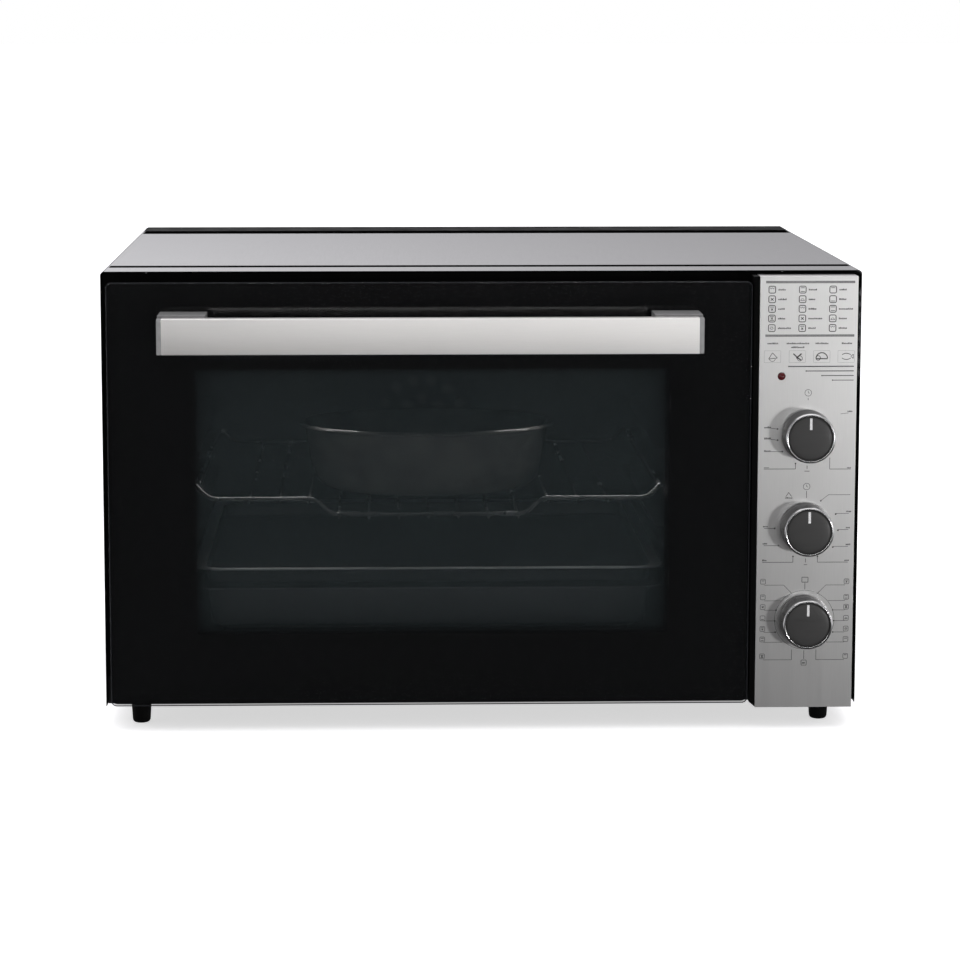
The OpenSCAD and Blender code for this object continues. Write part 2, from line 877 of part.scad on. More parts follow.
outer_cover();
back_panel();
bottom_plate();
front_frame();
cavity_top();
cavity_floor();
cavity_left();
cavity_right();
cavity_back();
shelf_rails();
insulation_top();
insulation_left();
heat_shield();
control_panel();
filler_strip();
pilot_lamp();
timer_body();
thermostat_body();
selector_body();
thermostat_bulb();
upper_element();
lower_element();
fan_guard();
fan_motor();
lamp_holder();
lamp_bulb();
lamp_glass();
terminal_block();
cord_gland();
feet();
foot_screws();
rear_screws();
door_seal();
hinge_brackets();
hinge_pins();
hinge_springs();
door_glass();
door_frame();
inner_glass();
glass_clips();
hinge_arms();
handle_bar();
handle_caps();
handle_brackets();
handle_screws();
timer_knob();
timer_face();
timer_shaft();
thermostat_knob();
thermostat_face();
thermostat_shaft();
selector_knob();
selector_face();
selector_shaft();
fan_wheel();
fan_shaft();
wire_rack();
roasting_dish();
baking_tray();
drip_tray();
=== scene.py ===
"""Looks of a countertop toaster oven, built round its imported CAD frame."""
import json
import math
import random

import bmesh
import bpy
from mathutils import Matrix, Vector


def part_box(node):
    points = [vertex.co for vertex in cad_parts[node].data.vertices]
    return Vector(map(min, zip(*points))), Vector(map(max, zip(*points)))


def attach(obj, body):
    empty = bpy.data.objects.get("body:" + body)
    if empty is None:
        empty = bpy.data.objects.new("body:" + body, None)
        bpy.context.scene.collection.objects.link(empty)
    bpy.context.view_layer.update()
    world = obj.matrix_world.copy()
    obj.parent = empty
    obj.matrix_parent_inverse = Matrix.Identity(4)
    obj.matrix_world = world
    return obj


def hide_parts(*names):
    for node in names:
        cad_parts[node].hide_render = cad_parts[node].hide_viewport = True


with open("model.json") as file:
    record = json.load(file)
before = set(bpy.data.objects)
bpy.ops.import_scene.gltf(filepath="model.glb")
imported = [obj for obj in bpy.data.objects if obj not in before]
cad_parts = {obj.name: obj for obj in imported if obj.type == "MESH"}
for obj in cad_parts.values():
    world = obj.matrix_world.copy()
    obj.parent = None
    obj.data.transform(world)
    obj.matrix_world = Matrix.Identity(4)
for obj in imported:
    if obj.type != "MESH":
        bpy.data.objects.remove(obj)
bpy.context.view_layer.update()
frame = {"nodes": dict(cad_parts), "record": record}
NODES = frame["nodes"]
MM = 0.001
WELD = 2e-6         # corners of a CAD mesh that are nearer than this are one corner
random.seed(7)      # fixes the blocks that stand for the panel's words

# ---- places

GLASS_LO, GLASS_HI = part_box("door_glass")
PANEL_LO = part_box("control_panel")[0]
FRONT = GLASS_LO.y
DOOR_X = (GLASS_LO.x + GLASS_HI.x) / 2


def centre(node):
    """The middle of a CAD node's box."""
    low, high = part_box(node)
    return (low + high) / 2


def mm(*points):
    """Points given in millimetres."""
    return [tuple(value * MM for value in point) for point in points]


DIALS = {name: centre(name + "_shaft") for name in ("timer", "thermostat", "selector")}


# ---- materials

def fill(node, **sockets):
    """Sets or joins a shader node's inputs, with _ for each space in their names."""
    for key, value in sockets.items():
        socket = node.inputs[key.replace("_", " ")]
        if isinstance(value, bpy.types.NodeSocket):
            node.id_data.links.new(value, socket)
        else:
            socket.default_value = value
    return node


def added(tree, kind, **sockets):
    """A new shader node in the tree, with its inputs filled."""
    return fill(tree.nodes.new("ShaderNode" + kind), **sockets)


def stretched(value, start, end, low, high, kind="LINEAR"):
    """The value's start..end stretched to low..high."""
    node = added(value.id_data, "MapRange")
    node.interpolation_type = kind
    fill(node, Value=value, From_Min=start, From_Max=end, To_Min=low, To_Max=high)
    return node.outputs["Result"]


class Look:
    """A node material under construction, with its Principled shader."""

    def __init__(self, name, colour, roughness=0.5, metallic=0.0, **sockets):
        self.material = bpy.data.materials.new(name)
        self.material.use_nodes = True
        self.tree = self.material.node_tree
        self.colour = (*colour, 1.0)
        self.shader = fill(self.tree.nodes["Principled BSDF"], Base_Color=self.colour,
                           Roughness=roughness, Metallic=metallic, **sockets)
        self.place = added(self.tree, "TexCoord").outputs["Object"]
        self.height = None

    def noise(self, scale, detail, stretch=(1, 1, 1), rough=0.5):
        """Noise in the object's own space, with scale in features per metre."""
        mapping = added(self.tree, "Mapping", Vector=self.place, Scale=stretch)
        node = added(self.tree, "TexNoise", Vector=mapping.outputs["Vector"], Scale=scale,
                     Detail=detail, Roughness=rough)
        return node.outputs["Fac"]

    def cells(self, scale):
        """Distance to the nearest of many scattered points."""
        node = added(self.tree, "TexVoronoi", Vector=self.place, Scale=scale)
        return node.outputs["Distance"]

    def diagonal_wave(self, scale, distortion):
        """Soft bands across the object's own space."""
        node = added(self.tree, "TexWave", Vector=self.place, Scale=scale, Distortion=distortion)
        node.bands_direction = "DIAGONAL"
        return node.outputs["Fac"]

    def vary_roughness(self, value, low, high):
        """Lets the roughness wander from low to high with the value."""
        fill(self.shader, Roughness=stretched(value, 0.3, 0.7, low, high))

    def vary_colour(self, value, other, start=0.35, end=0.65):
        """Blends the base colour towards another where the value is high."""
        mix = added(self.tree, "Mix")
        mix.data_type = "RGBA"
        base = self.shader.inputs["Base Color"]
        before = base.links[0].from_socket if base.is_linked else self.colour
        fill(mix, A=before, B=(*other, 1.0), Factor=stretched(value, start, end, 0.0, 1.0))
        fill(self.shader, Base_Color=mix.outputs["Result"])

    def bump(self, value, depth):
        """Raises the surface by up to depth mm where the value is high."""
        node = added(self.tree, "Bump", Height=value, Distance=depth * MM, Strength=1.0)
        if self.height:
            fill(node, Normal=self.height)
        self.height = node.outputs["Normal"]
        fill(self.shader, Normal=self.height)


def grey(value, warm=0.0):
    """A grey as a colour, with a little more red and less blue where warm."""
    return (value * (1 + warm), value, value * (1 - warm))


def painted(name, colour, roughness, peel, level=0.5, speck=None, grain=None):
    """Baked paint: a slightly wavy skin, over drawn sheet where a grain is given."""
    look = Look(name, colour, roughness, Specular_IOR_Level=level)
    look.bump(look.noise(900, 3.0, grain) if grain else look.noise(520, 2.0), peel)
    wander = look.noise(900, 3.0, grain) if grain else look.noise(40, 5.0)
    look.vary_roughness(wander, roughness * 0.88, roughness * 1.14)
    if speck:
        look.vary_colour(look.noise(900, 1.0), speck, 0.62, 0.72)
    return look.material


def brushed(name, colour, roughness, grain, metallic=1.0, dark=0.82, depth=0.004, uneven=0.22):
    """Metal with fine drawn lines; grain is the stretch, small along the lines."""
    look = Look(name, colour, roughness, metallic)
    lines = look.noise(2400, 4.0, grain, 0.65)
    broad = look.noise(260, 3.0, grain, 0.6)
    look.vary_colour(lines, tuple(c * dark for c in colour))
    look.vary_roughness(broad, roughness * (1 - uneven), roughness * (1 + uneven))
    look.bump(lines, depth)
    return look.material


def cast(name, colour, roughness, scale, depth, metallic=0.0, other=None):
    """Moulded, cast or sintered stuff with an all-round grain."""
    look = Look(name, colour, roughness, metallic)
    look.bump(look.noise(scale, 4.0), depth)
    look.vary_roughness(look.noise(scale * 0.05, 3.0), roughness * 0.85, roughness * 1.15)
    look.vary_colour(look.noise(scale * 0.3, 3.0), other or tuple(c * 0.8 for c in colour))
    return look.material


def pane(name, colour, alpha, roughness=0.03):
    """Tinted flat glass that lets light straight through."""
    look = Look(name, colour, roughness, Alpha=alpha)
    look.vary_roughness(look.noise(14, 3.0), roughness * 0.7, roughness * 1.6)
    return look.material


def enamel(name, colour, speck):
    """Vitreous enamel with fine light specks."""
    look = Look(name, colour, 0.18)
    look.vary_colour(look.cells(420), speck, 0.16, 0.10)
    look.bump(look.noise(160, 2.0), 0.02)
    look.vary_roughness(look.noise(12, 4.0), 0.14, 0.26)
    return look.material


def woven(name, colour, other):
    """Braided glass yarn."""
    look = Look(name, colour, 0.85)
    braid = look.diagonal_wave(300, 1.0)
    look.vary_colour(braid, other)
    look.bump(braid, 0.25)
    look.bump(look.noise(1800, 2.0), 0.1)
    return look.material


def printed(name, colour):
    """Screen-printed ink: matt, a little uneven."""
    look = Look(name, colour, 0.55)
    look.vary_colour(look.noise(1500, 2.0), tuple(c * 1.5 for c in colour))
    look.bump(look.noise(2500, 2.0), 0.004)
    return look.material


def ceramic_glaze(name, colour, other):
    """Glazed stoneware: cloudy, with dark freckles."""
    look = Look(name, colour, 0.16)
    look.vary_colour(look.noise(35, 5.0), other, 0.4, 0.7)
    look.vary_colour(look.cells(230), tuple(c * 0.45 for c in colour), 0.10, 0.06)
    look.bump(look.noise(70, 3.0), 0.12)
    return look.material


def heated_steel(name):
    """A heater's sheath, with temper colours from use."""
    look = Look(name, grey(0.16, 0.08), 0.42, 0.9)
    look.vary_colour(look.noise(45, 4.0), (0.10, 0.085, 0.11), 0.4, 0.65)
    look.vary_colour(look.noise(18, 3.0), (0.21, 0.15, 0.10), 0.5, 0.75)
    look.bump(look.noise(1400, 3.0), 0.02)
    return look.material


def glass_wool(name):
    """A mat of yellow fibres."""
    look = Look(name, (0.72, 0.60, 0.26), 0.95)
    fibres = look.noise(600, 6.0, (0.15, 1, 1), 0.8)
    look.vary_colour(fibres, (0.86, 0.78, 0.48))
    look.bump(fibres, 1.5)
    return look.material


def chrome(name, colour, roughness):
    """Plated metal with soft wipe marks."""
    look = Look(name, colour, roughness, 1.0)
    look.vary_roughness(look.noise(30, 4.0), roughness * 0.7, roughness * 1.5)
    look.bump(look.noise(900, 2.0), 0.003)
    return look.material


ALONG_X = (0.02, 1, 1)
ALONG_Y = (1, 0.02, 1)
ALONG_Z = (1, 1, 0.02)

# what the CAD's material slots look like, with depths of grain and skin in mm
LOOKS = {
    "black_paint": painted("black_paint", grey(0.002), 0.12, 0.0008, 0.25, grain=ALONG_Y),
    "black_sheet": painted("black_sheet", grey(0.006), 0.5, 0.05, 0.2, speck=grey(0.012)),
    "enamel": enamel("cavity_enamel", (0.028, 0.035, 0.038), grey(0.20)),
    "glass_wool": glass_wool("glass_wool"),
    "galvanised": cast("galvanised", grey(0.58), 0.36, 90, 0.01, 1.0, other=grey(0.44)),
    "stainless": brushed("stainless", grey(0.70, 0.008), 0.34, ALONG_Z, dark=0.96,
                         depth=0.0008, uneven=0.03),
    "red_lens": cast("red_lens", (0.075, 0.006, 0.009), 0.12, 500, 0.004,
                     other=(0.035, 0.003, 0.004)),
    "switch_plastic": cast("switch_plastic", (0.68, 0.64, 0.55), 0.5, 900, 0.03),
    "ceramic": cast("ceramic", (0.80, 0.77, 0.70), 0.45, 700, 0.03),
    "copper": brushed("copper", (0.72, 0.38, 0.24), 0.3, ALONG_Y),
    "heater_tube": heated_steel("heater_tube"),
    "motor_steel": brushed("motor_steel", grey(0.34), 0.4, ALONG_Y),
    "bulb_glass": cast("bulb_glass", (0.92, 0.90, 0.82), 0.25, 300, 0.01),
    "clear_glass": pane("clear_glass", (0.058, 0.077, 0.080), 0.26),
    "black_plastic": cast("black_plastic", grey(0.008), 0.5, 1100, 0.05),
    "zinc": cast("zinc", grey(0.55), 0.32, 350, 0.01, 1.0, other=grey(0.42, 0.03)),
    "seal": woven("seal", grey(0.10), grey(0.26)),
    "black_glass": pane("black_glass", (0.004, 0.0045, 0.005), 0.22, 0.02),
    "handle_metal": brushed("handle_metal", grey(0.93, 0.02), 0.36, ALONG_X, dark=0.975,
                            depth=0.0006, uneven=0.03),
    "grey_plastic": cast("grey_plastic", grey(0.17), 0.45, 900, 0.006, other=grey(0.20)),
    "knob_chrome": chrome("knob_chrome", grey(0.50), 0.19),
    "knob_face": brushed("knob_face", grey(0.026, 0.02), 0.45, ALONG_X, metallic=0.2, dark=0.9,
                         depth=0.001),
    "brass": brushed("brass", (0.70, 0.52, 0.22), 0.3, ALONG_Y),
    "rack_wire": chrome("rack_wire", grey(0.25), 0.22),
    "dish_glaze": ceramic_glaze("dish_glaze", (0.140, 0.136, 0.130), (0.090, 0.087, 0.087)),
    "tray_enamel": enamel("tray_enamel", (0.040, 0.041, 0.044), grey(0.18)),
}
INK = printed("panel_ink", grey(0.022))
PALE_INK = printed("pale_ink", grey(0.30))
FRIT = painted("glass_frit", grey(0.0035), 0.07, 0.00002)
GROUND_EDGE = painted("ground_glass_edge", (0.014, 0.015, 0.017), 0.6, 0.01, 0.1)
# the cover's rear strip in a matt, weakly reflecting paint: painted shade
SHADED_REAR_STRIP = painted("rear_strip_painted_shade", grey(0.004), 0.62, 0.03, 0.02)
# the knob's chrome made darker for the skirt: painted shade
SHADED_KNOB_SKIRT = chrome("knob_skirt_painted_shade", grey(0.14), 0.2)
FOOT_RUBBER = painted("foot_rubber", grey(0.002), 0.7, 0.04, 0.06)
# darker matt black: the front frame's and filler strip's own paint, and painted shade on the
# cover's front faces
MATT_FRONT_AND_SHADE = painted("matt_front_and_painted_shade", grey(0.0008), 0.65, 0.03, 0.05)
# a light metal look for the tray's rim: a painted highlight for the bright line along its edge
RIM_HIGHLIGHT = brushed("tray_rim_painted_highlight", grey(0.62), 0.34, ALONG_X, depth=0.001)
DRIP_ENAMEL = enamel("drip_tray_enamel", (0.098, 0.094, 0.100), grey(0.24))
# the fan wheel's steel made dark so that it reads as unlit behind the guard: painted shade
SHADED_FAN_STEEL = brushed("fan_steel_painted_shade", grey(0.07), 0.5, ALONG_X)
BAR_INK = printed("grey_bar_ink", grey(0.12))
POINTER = printed("pointer_ink", grey(0.40))


# ---- mesh tools

def piece(name, mesh_builder, body, slot, replaces=(), material=None, smooth=40, weighted=False):
    """Makes one object of what mesh_builder draws into a bmesh, riding on a body."""
    bm = bmesh.new()
    mesh_builder(bm)
    bmesh.ops.recalc_face_normals(bm, faces=bm.faces)
    mesh = bpy.data.meshes.new(name)
    bm.to_mesh(mesh)
    bm.free()
    mesh.shade_smooth()
    mesh.set_sharp_from_angle(angle=math.radians(smooth))
    mesh.materials.append(material or LOOKS[slot])
    thing = bpy.data.objects.new(name, mesh)
    bpy.context.scene.collection.objects.link(thing)
    if weighted:
        flatten = thing.modifiers.new("flat_faces", "WEIGHTED_NORMAL")
        flatten.weight = 100
        flatten.keep_sharp = True
    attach(thing, body)
    if replaces:
        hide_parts(*replaces)
    return thing


def recolour(thing, material, test):
    """Gives another material to the faces that pass the test."""
    thing.data.materials.append(material)
    for face in thing.data.polygons:
        if test(face):
            face.material_index = len(thing.data.materials) - 1


def skin(bm, a, b):
    """Faces between two rings of corners; a ring of one corner is a tip."""
    count = max(len(a), len(b))
    for i in range(count):
        j = (i + 1) % count
        if len(a) == 1:
            corners = (a[0], b[j], b[i])
        elif len(b) == 1:
            corners = (a[i], a[j], b[0])
        else:
            corners = (a[i], a[j], b[j], b[i])
        bm.faces.new(corners)


def loft(bm, rings, closed=False):
    """Skins a row of rings of points; closed joins the last to the first, else both are capped."""
    made = [[bm.verts.new(p) for p in ring] for ring in rings]
    for a, b in zip(made, made[1:]):
        skin(bm, a, b)
    if closed:
        skin(bm, made[-1], made[0])
        return
    for ring in (made[0], made[-1]):
        if len(ring) > 2:
            bm.faces.new(ring)


def circle(count):
    """The cosine and the sine of count evenly spaced angles."""
    return [(math.cos(2 * math.pi * i / count), math.sin(2 * math.pi * i / count))
            for i in range(count)]


def lathe(bm, profile, origin, axis, segments, closed=False):
    """Turns (radius, distance along the axis) points into a solid."""
    turn = Vector(axis).to_track_quat("Z", "X").to_matrix()
    rings = []
    for r, h in profile:
        around = circle(segments) if r else [(0, 0)]
        rings.append([origin + turn @ Vector((r * c, r * s, h)) for c, s in around])
    loft(bm, rings, closed)


def sweep(bm, path, radius, sides, closed=False, flat=1.0):
    """A tube along a path of points; flat squeezes it across its second axis."""
    count = len(path)
    tangents = []
    for i in range(count):
        before = path[i - 1] if closed or i else path[0]
        after = path[(i + 1) % count] if closed or i < count - 1 else path[-1]
        tangents.append((after - before).normalized())
    side = tangents[0].orthogonal().normalized()
    if abs(tangents[0].y) < 0.9:
        side = (Vector((0, 1, 0)) - tangents[0] * tangents[0].y).normalized()
    rings = []
    for point, tangent in zip(path, tangents):
        side = (side - tangent * side.dot(tangent)).normalized()
        other = tangent.cross(side)
        rings.append([point + side * (radius * flat * c) + other * (radius * s)
                      for c, s in circle(sides)])
    loft(bm, rings, closed)


def rounded(points, radius, closed=False, steps=6):
    """The path through points with each corner turned into a smooth bend."""
    count = len(points)
    path = []
    for i, p in enumerate(points):
        if not closed and i in (0, count - 1):
            path.append(p)
            continue
        to_a = points[i - 1] - p
        to_b = points[(i + 1) % count] - p
        reach = min(radius, 0.45 * to_a.length, 0.45 * to_b.length)
        a = p + to_a.normalized() * reach
        b = p + to_b.normalized() * reach
        for k in range(steps + 1):
            t = k / steps
            path.append(a * (1 - t) ** 2 + p * (2 * t * (1 - t)) + b * t ** 2)
    return path


def slab(bm, low, high, bevel):
    """A box between two corners with rounded edges."""
    made = bmesh.ops.create_cube(bm, size=1.0)["verts"]
    low, high = Vector(low), Vector(high)
    middle, size = (low + high) / 2, high - low
    for v in made:
        v.co = middle + Vector(c * s for c, s in zip(v.co, size))
    edges = list({e for v in made for e in v.link_edges})
    bmesh.ops.bevel(bm, geom=edges, offset=bevel, segments=2, profile=0.5, affect="EDGES",
                    clamp_overlap=True)


def corner_outline(w, h, r, steps):
    """Points round a rectangle with round corners, from its middle, as (u, v)."""
    points = []
    for k, (sx, sy) in enumerate(((1, 1), (-1, 1), (-1, -1), (1, -1))):
        for i in range(steps + 1):
            a = math.pi / 2 * (k + i / steps)
            points.append((sx * (w / 2 - r) + r * math.cos(a), sy * (h / 2 - r) + r * math.sin(a)))
    return points


def softened(node, width, body, slot, material=None, segments=2, smooth=40):
    """A copy of a CAD node's shape whose sharp edges are rounded off."""
    flat, sharp = math.radians(0.6), math.radians(32)

    def draw(bm):
        bm.from_mesh(NODES[node].data)
        bmesh.ops.remove_doubles(bm, verts=bm.verts, dist=WELD)
        bmesh.ops.dissolve_limit(bm, angle_limit=flat, verts=bm.verts, edges=bm.edges)
        edges = [e for e in bm.edges if len(e.link_faces) == 2 and e.calc_face_angle() > sharp]
        bmesh.ops.bevel(bm, geom=edges, offset=width, segments=segments, profile=0.5,
                        affect="EDGES", clamp_overlap=True)
        bmesh.ops.dissolve_degenerate(bm, dist=WELD / 10, edges=bm.edges)

    return piece(node + "_shell", draw, body, slot, [node], material, smooth, weighted=True)


# ---- casing

def build_casing():
    """The housing's sheets and plain parts, with edges rounded off by a width in mm."""
    for node, width in (("back_panel", 0.2), ("bottom_plate", 0.2), ("heat_shield", 0.2),
                        ("shelf_rails", 0.35), ("fan_guard", 0.3), ("terminal_block", 0.5),
                        ("control_panel", 0.45), ("cord_gland", 0.5), ("hinge_brackets", 0.2)):
        softened(node, width * MM, "housing", record_slot(node))
    for node, width in (("front_frame", 0.25), ("filler_strip", 0.4)):
        softened(node, width * MM, "housing", record_slot(node), MATT_FRONT_AND_SHADE)
    paint_cover_shade(softened("outer_cover", 0.25 * MM, "housing", "black_paint"))


def paint_cover_shade(cover):
    """The strip behind the rear channel and the front edge get a more matt, weakly reflecting
    paint than the top: painted shade that makes them darker.
    """
    strip_depth = 50.5 * MM
    facing = 0.3        # how far a face's normal leans towards the front or the sky
    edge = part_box("outer_cover")[1].y - strip_depth
    bm = bmesh.new()
    bm.from_mesh(cover.data)
    bmesh.ops.bisect_plane(bm, geom=bm.verts[:] + bm.edges[:] + bm.faces[:],
                           plane_co=(0, edge, 0), plane_no=(0, 1, 0))
    bm.to_mesh(cover.data)
    bm.free()
    # The cover's faces towards the front get the darker matt paint: painted shade.
    recolour(cover, MATT_FRONT_AND_SHADE, lambda face: face.normal.y < -facing)
    # The rear strip gets the darker-looking paint: painted shade.
    recolour(cover, SHADED_REAR_STRIP,
             lambda face: face.center.y > edge and face.normal.z > facing)


def record_slot(node):
    """The material slot that the record gives a node."""
    rows = frame["record"]["subparts"]
    return next(r["material_slot"] for r in rows if r["node"] == node)


def dress_cad_nodes():
    """Gives every CAD node that still shows the look of its own slot, but the fan wheel a darker
    steel as painted shade.
    """
    for name, thing in NODES.items():
        look = SHADED_FAN_STEEL if name == "fan_wheel" else LOOKS[record_slot(name)]
        thing.data.materials.clear()
        thing.data.materials.append(look)


def build_feet():
    """Rubber feet with a rounded sole and a recess for the screw's head."""
    low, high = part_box("feet")
    top = (high.z - low.z) / MM
    sole = mm((4.7, 0), (5.4, 0), (6.5, 0.35), (7.4, 1.1), (7.9, 2.4), (8.1, 4.6))
    rest = mm((8.9, top - 0.5), (8.6, top), (2.2, top), (2.2, 9), (4.7, 9))

    def draw(bm):
        for p in solids_centres("feet"):
            lathe(bm, sole + rest, Vector((p.x, p.y, low.z)), (0, 0, 1), 64, closed=True)

    piece("rubber_feet", draw, "housing", "black_plastic", ["feet"], material=FOOT_RUBBER)


def solids_centres(node):
    """The middle of each separate solid of a CAD node, by joining near corners."""
    bm = bmesh.new()
    bm.from_mesh(NODES[node].data)
    bmesh.ops.remove_doubles(bm, verts=bm.verts, dist=WELD)
    left = set(bm.verts)
    centres = []
    while left:
        island, front = [], [left.pop()]
        while front:
            v = front.pop()
            island.append(v)
            for e in v.link_edges:
                w = e.other_vert(v)
                if w in left:
                    left.discard(w)
                    front.append(w)
        low = Vector(min(v.co[i] for v in island) for i in range(3))
        high = Vector(max(v.co[i] for v in island) for i in range(3))
        centres.append((low + high) / 2)
    bm.free()
    return sorted(centres, key=lambda c: tuple(round(x, 5) for x in c))


def cross_screw(bm, base, axis, r, rise):
    """A pan head with a cross recess; base is the middle of its underside."""
    arm_half, arm_reach, recess = 0.13 * r, 0.55 * r, 0.5 * rise
    turn = Vector(axis).to_track_quat("Z", "X").to_matrix()
    rings = []
    steps = 14
    for i in range(steps + 1):
        share = i / steps
        ring = []
        for c, s in circle(48):
            x, y = r * share * c, r * share * s
            h = rise * (1 - 0.35 * share ** 2 - 0.65 * share ** 8)
            arm = min(abs(x), abs(y)) < arm_half and max(abs(x), abs(y)) < arm_reach
            ring.append(base + turn @ Vector((x, y, h - (recess if arm else 0))))
        rings.append(ring if i else [base + turn @ Vector((0, 0, rise - recess))])
    rings.append([base])
    loft(bm, rings)


def rear_screws(name, node, body, depth, r, rise):
    """Heads that face the rear, in place of a CAD node's screws."""
    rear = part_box(node)[1].y

    def draw(bm):
        for p in solids_centres(node):
            cross_screw(bm, Vector((p.x, rear - depth, p.z)), (0, 1, 0), r, rise)

    piece(name, draw, body, "zinc", [node])


def build_screws():
    """The screws of the back panel and of the feet."""
    rear_screws("back_screws", "rear_screws", "housing", 2.2 * MM, 3.8 * MM, 2.1 * MM)
    low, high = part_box("foot_screws")
    tip = (high.z - low.z) / MM
    shank = mm((0, 2.4), (2, 2.4), (2, tip - 0.4), (1.6, tip), (0, tip))

    def draw_feet(bm):
        for p in solids_centres("foot_screws"):
            cross_screw(bm, Vector((p.x, p.y, low.z + 2.5 * MM)), (0, 0, -1), 4 * MM, 2.4 * MM)
            lathe(bm, shank, Vector((p.x, p.y, low.z)), (0, 0, 1), 24)

    piece("feet_screws", draw_feet, "housing", "zinc", ["foot_screws"])


# ---- door

WINDOW_LO = Vector((DOOR_X - 204.6 * MM, 0, 86.6 * MM))
WINDOW_HI = Vector((DOOR_X + 209.8 * MM, 0, 321.8 * MM))


def rect_ring(low, high, y, r, steps=6):
    """A rectangle's round-cornered outline on a plane across the depth."""
    mx, mz = (low.x + high.x) / 2, (low.z + high.z) / 2
    return [Vector((mx + u, y, mz + v))
            for u, v in corner_outline(high.x - low.x, high.z - low.z, r, steps)]


def grown(low, high, by):
    """The rectangle's corners moved outwards."""
    step = Vector((by, 0, by))
    return low - step, high + step


def build_door():
    """The glass with its ground edge and its print on the back, and the parts behind it."""
    back = GLASS_HI.y - 0.3 * MM

    def draw_pane(bm):
        rings = []
        for inset, y in ((1.1, FRONT), (0.45, FRONT + 0.12 * MM), (0, FRONT + 0.7 * MM),
                         (0, back - 0.7 * MM), (0.45, back - 0.12 * MM), (1.1, back)):
            low, high = grown(GLASS_LO, GLASS_HI, -inset * MM)
            rings.append(rect_ring(low, high, y, (5 - inset) * MM, 8))
        loft(bm, rings)

    piece("door_pane", draw_pane, "door", "black_glass", ["door_glass"], smooth=30, weighted=True)

    def draw_edge(bm):
        outer, inner = (grown(GLASS_LO, GLASS_HI, -i * MM) for i in (0.05, 1.05))
        y = FRONT + 0.02 * MM
        loft(bm, [rect_ring(*inner, y, 4 * MM, 8), rect_ring(*outer, y + 0.75 * MM, 5 * MM, 8),
                  rect_ring(*outer, y + 1.4 * MM, 5 * MM, 8),
                  rect_ring(*inner, y + 0.25 * MM, 4 * MM, 8)], closed=True)

    piece("door_pane_ground_edge", draw_edge, "door", "black_glass", material=GROUND_EDGE)

    def draw_print(bm):
        print_low, print_high = grown(GLASS_LO, GLASS_HI, -1.2 * MM)
        y0, y1 = back + 0.03 * MM, back + 0.26 * MM
        rings = [rect_ring(print_low, print_high, y0, 4 * MM),
                 rect_ring(WINDOW_LO, WINDOW_HI, y0, 3 * MM),
                 rect_ring(WINDOW_LO, WINDOW_HI, y1, 3 * MM),
                 rect_ring(print_low, print_high, y1, 4 * MM)]
        loft(bm, rings, closed=True)

    piece("door_border_print", draw_print, "door", "black_glass", material=FRIT)

    def draw_dots(bm):
        pitch = 1.8 * MM
        for row, r in enumerate((0.82, 0.64, 0.46, 0.3)):
            inset = (row + 0.45) * pitch
            low, high = grown(WINDOW_LO, WINDOW_HI, -inset)
            nx = round((high.x - low.x) / pitch)
            nz = round((high.z - low.z) / pitch)
            spots = [(low.x + (high.x - low.x) * (i + 0.5 * (row % 2)) / nx, z)
                     for i in range(nx + 1 - row % 2) for z in (low.z, high.z)]
            spots += [(x, low.z + (high.z - low.z) * (i + 0.5 * (row % 2)) / nz)
                      for i in range(1 - row % 2, nz) for x in (low.x, high.x)]
            for x, z in spots:
                lathe(bm, [(0, 0), (r * MM, 0), (r * MM, 0.12 * MM), (0, 0.12 * MM)],
                      Vector((x, back + 0.04 * MM, z)), (0, 1, 0), 7)

    piece("door_window_dots", draw_dots, "door", "black_glass", material=FRIT)

    softened("door_frame", 0.35 * MM, "door", "black_sheet")
    softened("inner_glass", 0.4 * MM, "door", "clear_glass")
    softened("glass_clips", 0.25 * MM, "door", "zinc")
    softened("hinge_arms", 0.3 * MM, "door", "zinc")


def build_hinge_springs():
    """A coil round each of the door's two pins."""
    low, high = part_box("hinge_springs")
    pin = centre("hinge_pins")
    wide, end = solid_width("hinge_springs"), 0.8 * MM
    turns, steps, coil_r = 4, 24, 4.55 * MM

    def draw(bm):
        for x in (low.x, high.x - wide):
            path = []
            for i in range(turns * steps + 1):
                a = 2 * math.pi * i / steps
                along = x + end + (wide - 2 * end) * i / (turns * steps)
                path.append(Vector((along, pin.y + coil_r * math.cos(a),
                                    pin.z + coil_r * math.sin(a))))
            sweep(bm, path, 0.72 * MM, 10)

    piece("door_spring_coils", draw, "housing", "zinc", ["hinge_springs"])


def solid_width(node):
    """How wide the leftmost separate solid of a CAD node is."""
    return 2 * (solids_centres(node)[0].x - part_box(node)[0].x)


def build_handle():
    """A bar with a slightly crowned face, its end caps, brackets and bolts."""
    low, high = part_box("handle_bar")
    z, half, deep = (low.z + high.z) / 2, (high.z - low.z) / 2 / MM, (high.y - low.y) / MM
    crown, steps = 0.27, 8

    def draw_bar(bm):
        face = [(crown * (k / steps) ** 2, (half - 0.35) * k / steps)
                for k in range(-steps, steps + 1)]
        upper = [(0.85, half - 0.1), (1.3, half), (deep - 1, half), (deep, half - 1)]
        lower = [(y, -v) for y, v in reversed(upper)]
        section = mm(*face, *upper, *lower)
        loft(bm, [[Vector((x, low.y + y, z + v)) for y, v in section]
                  for x in (low.x, high.x)])

    piece("handle_tube", draw_bar, "door", "handle_metal", ["handle_bar"], smooth=50)
    softened("handle_caps", 0.35 * MM, "door", "grey_plastic", smooth=30)
    softened("handle_brackets", 1.2 * MM, "door", "grey_plastic", segments=3)
    rear_screws("handle_bolts", "handle_screws", "door", 3 * MM, 5 * MM, 2.9 * MM)


# ---- dials

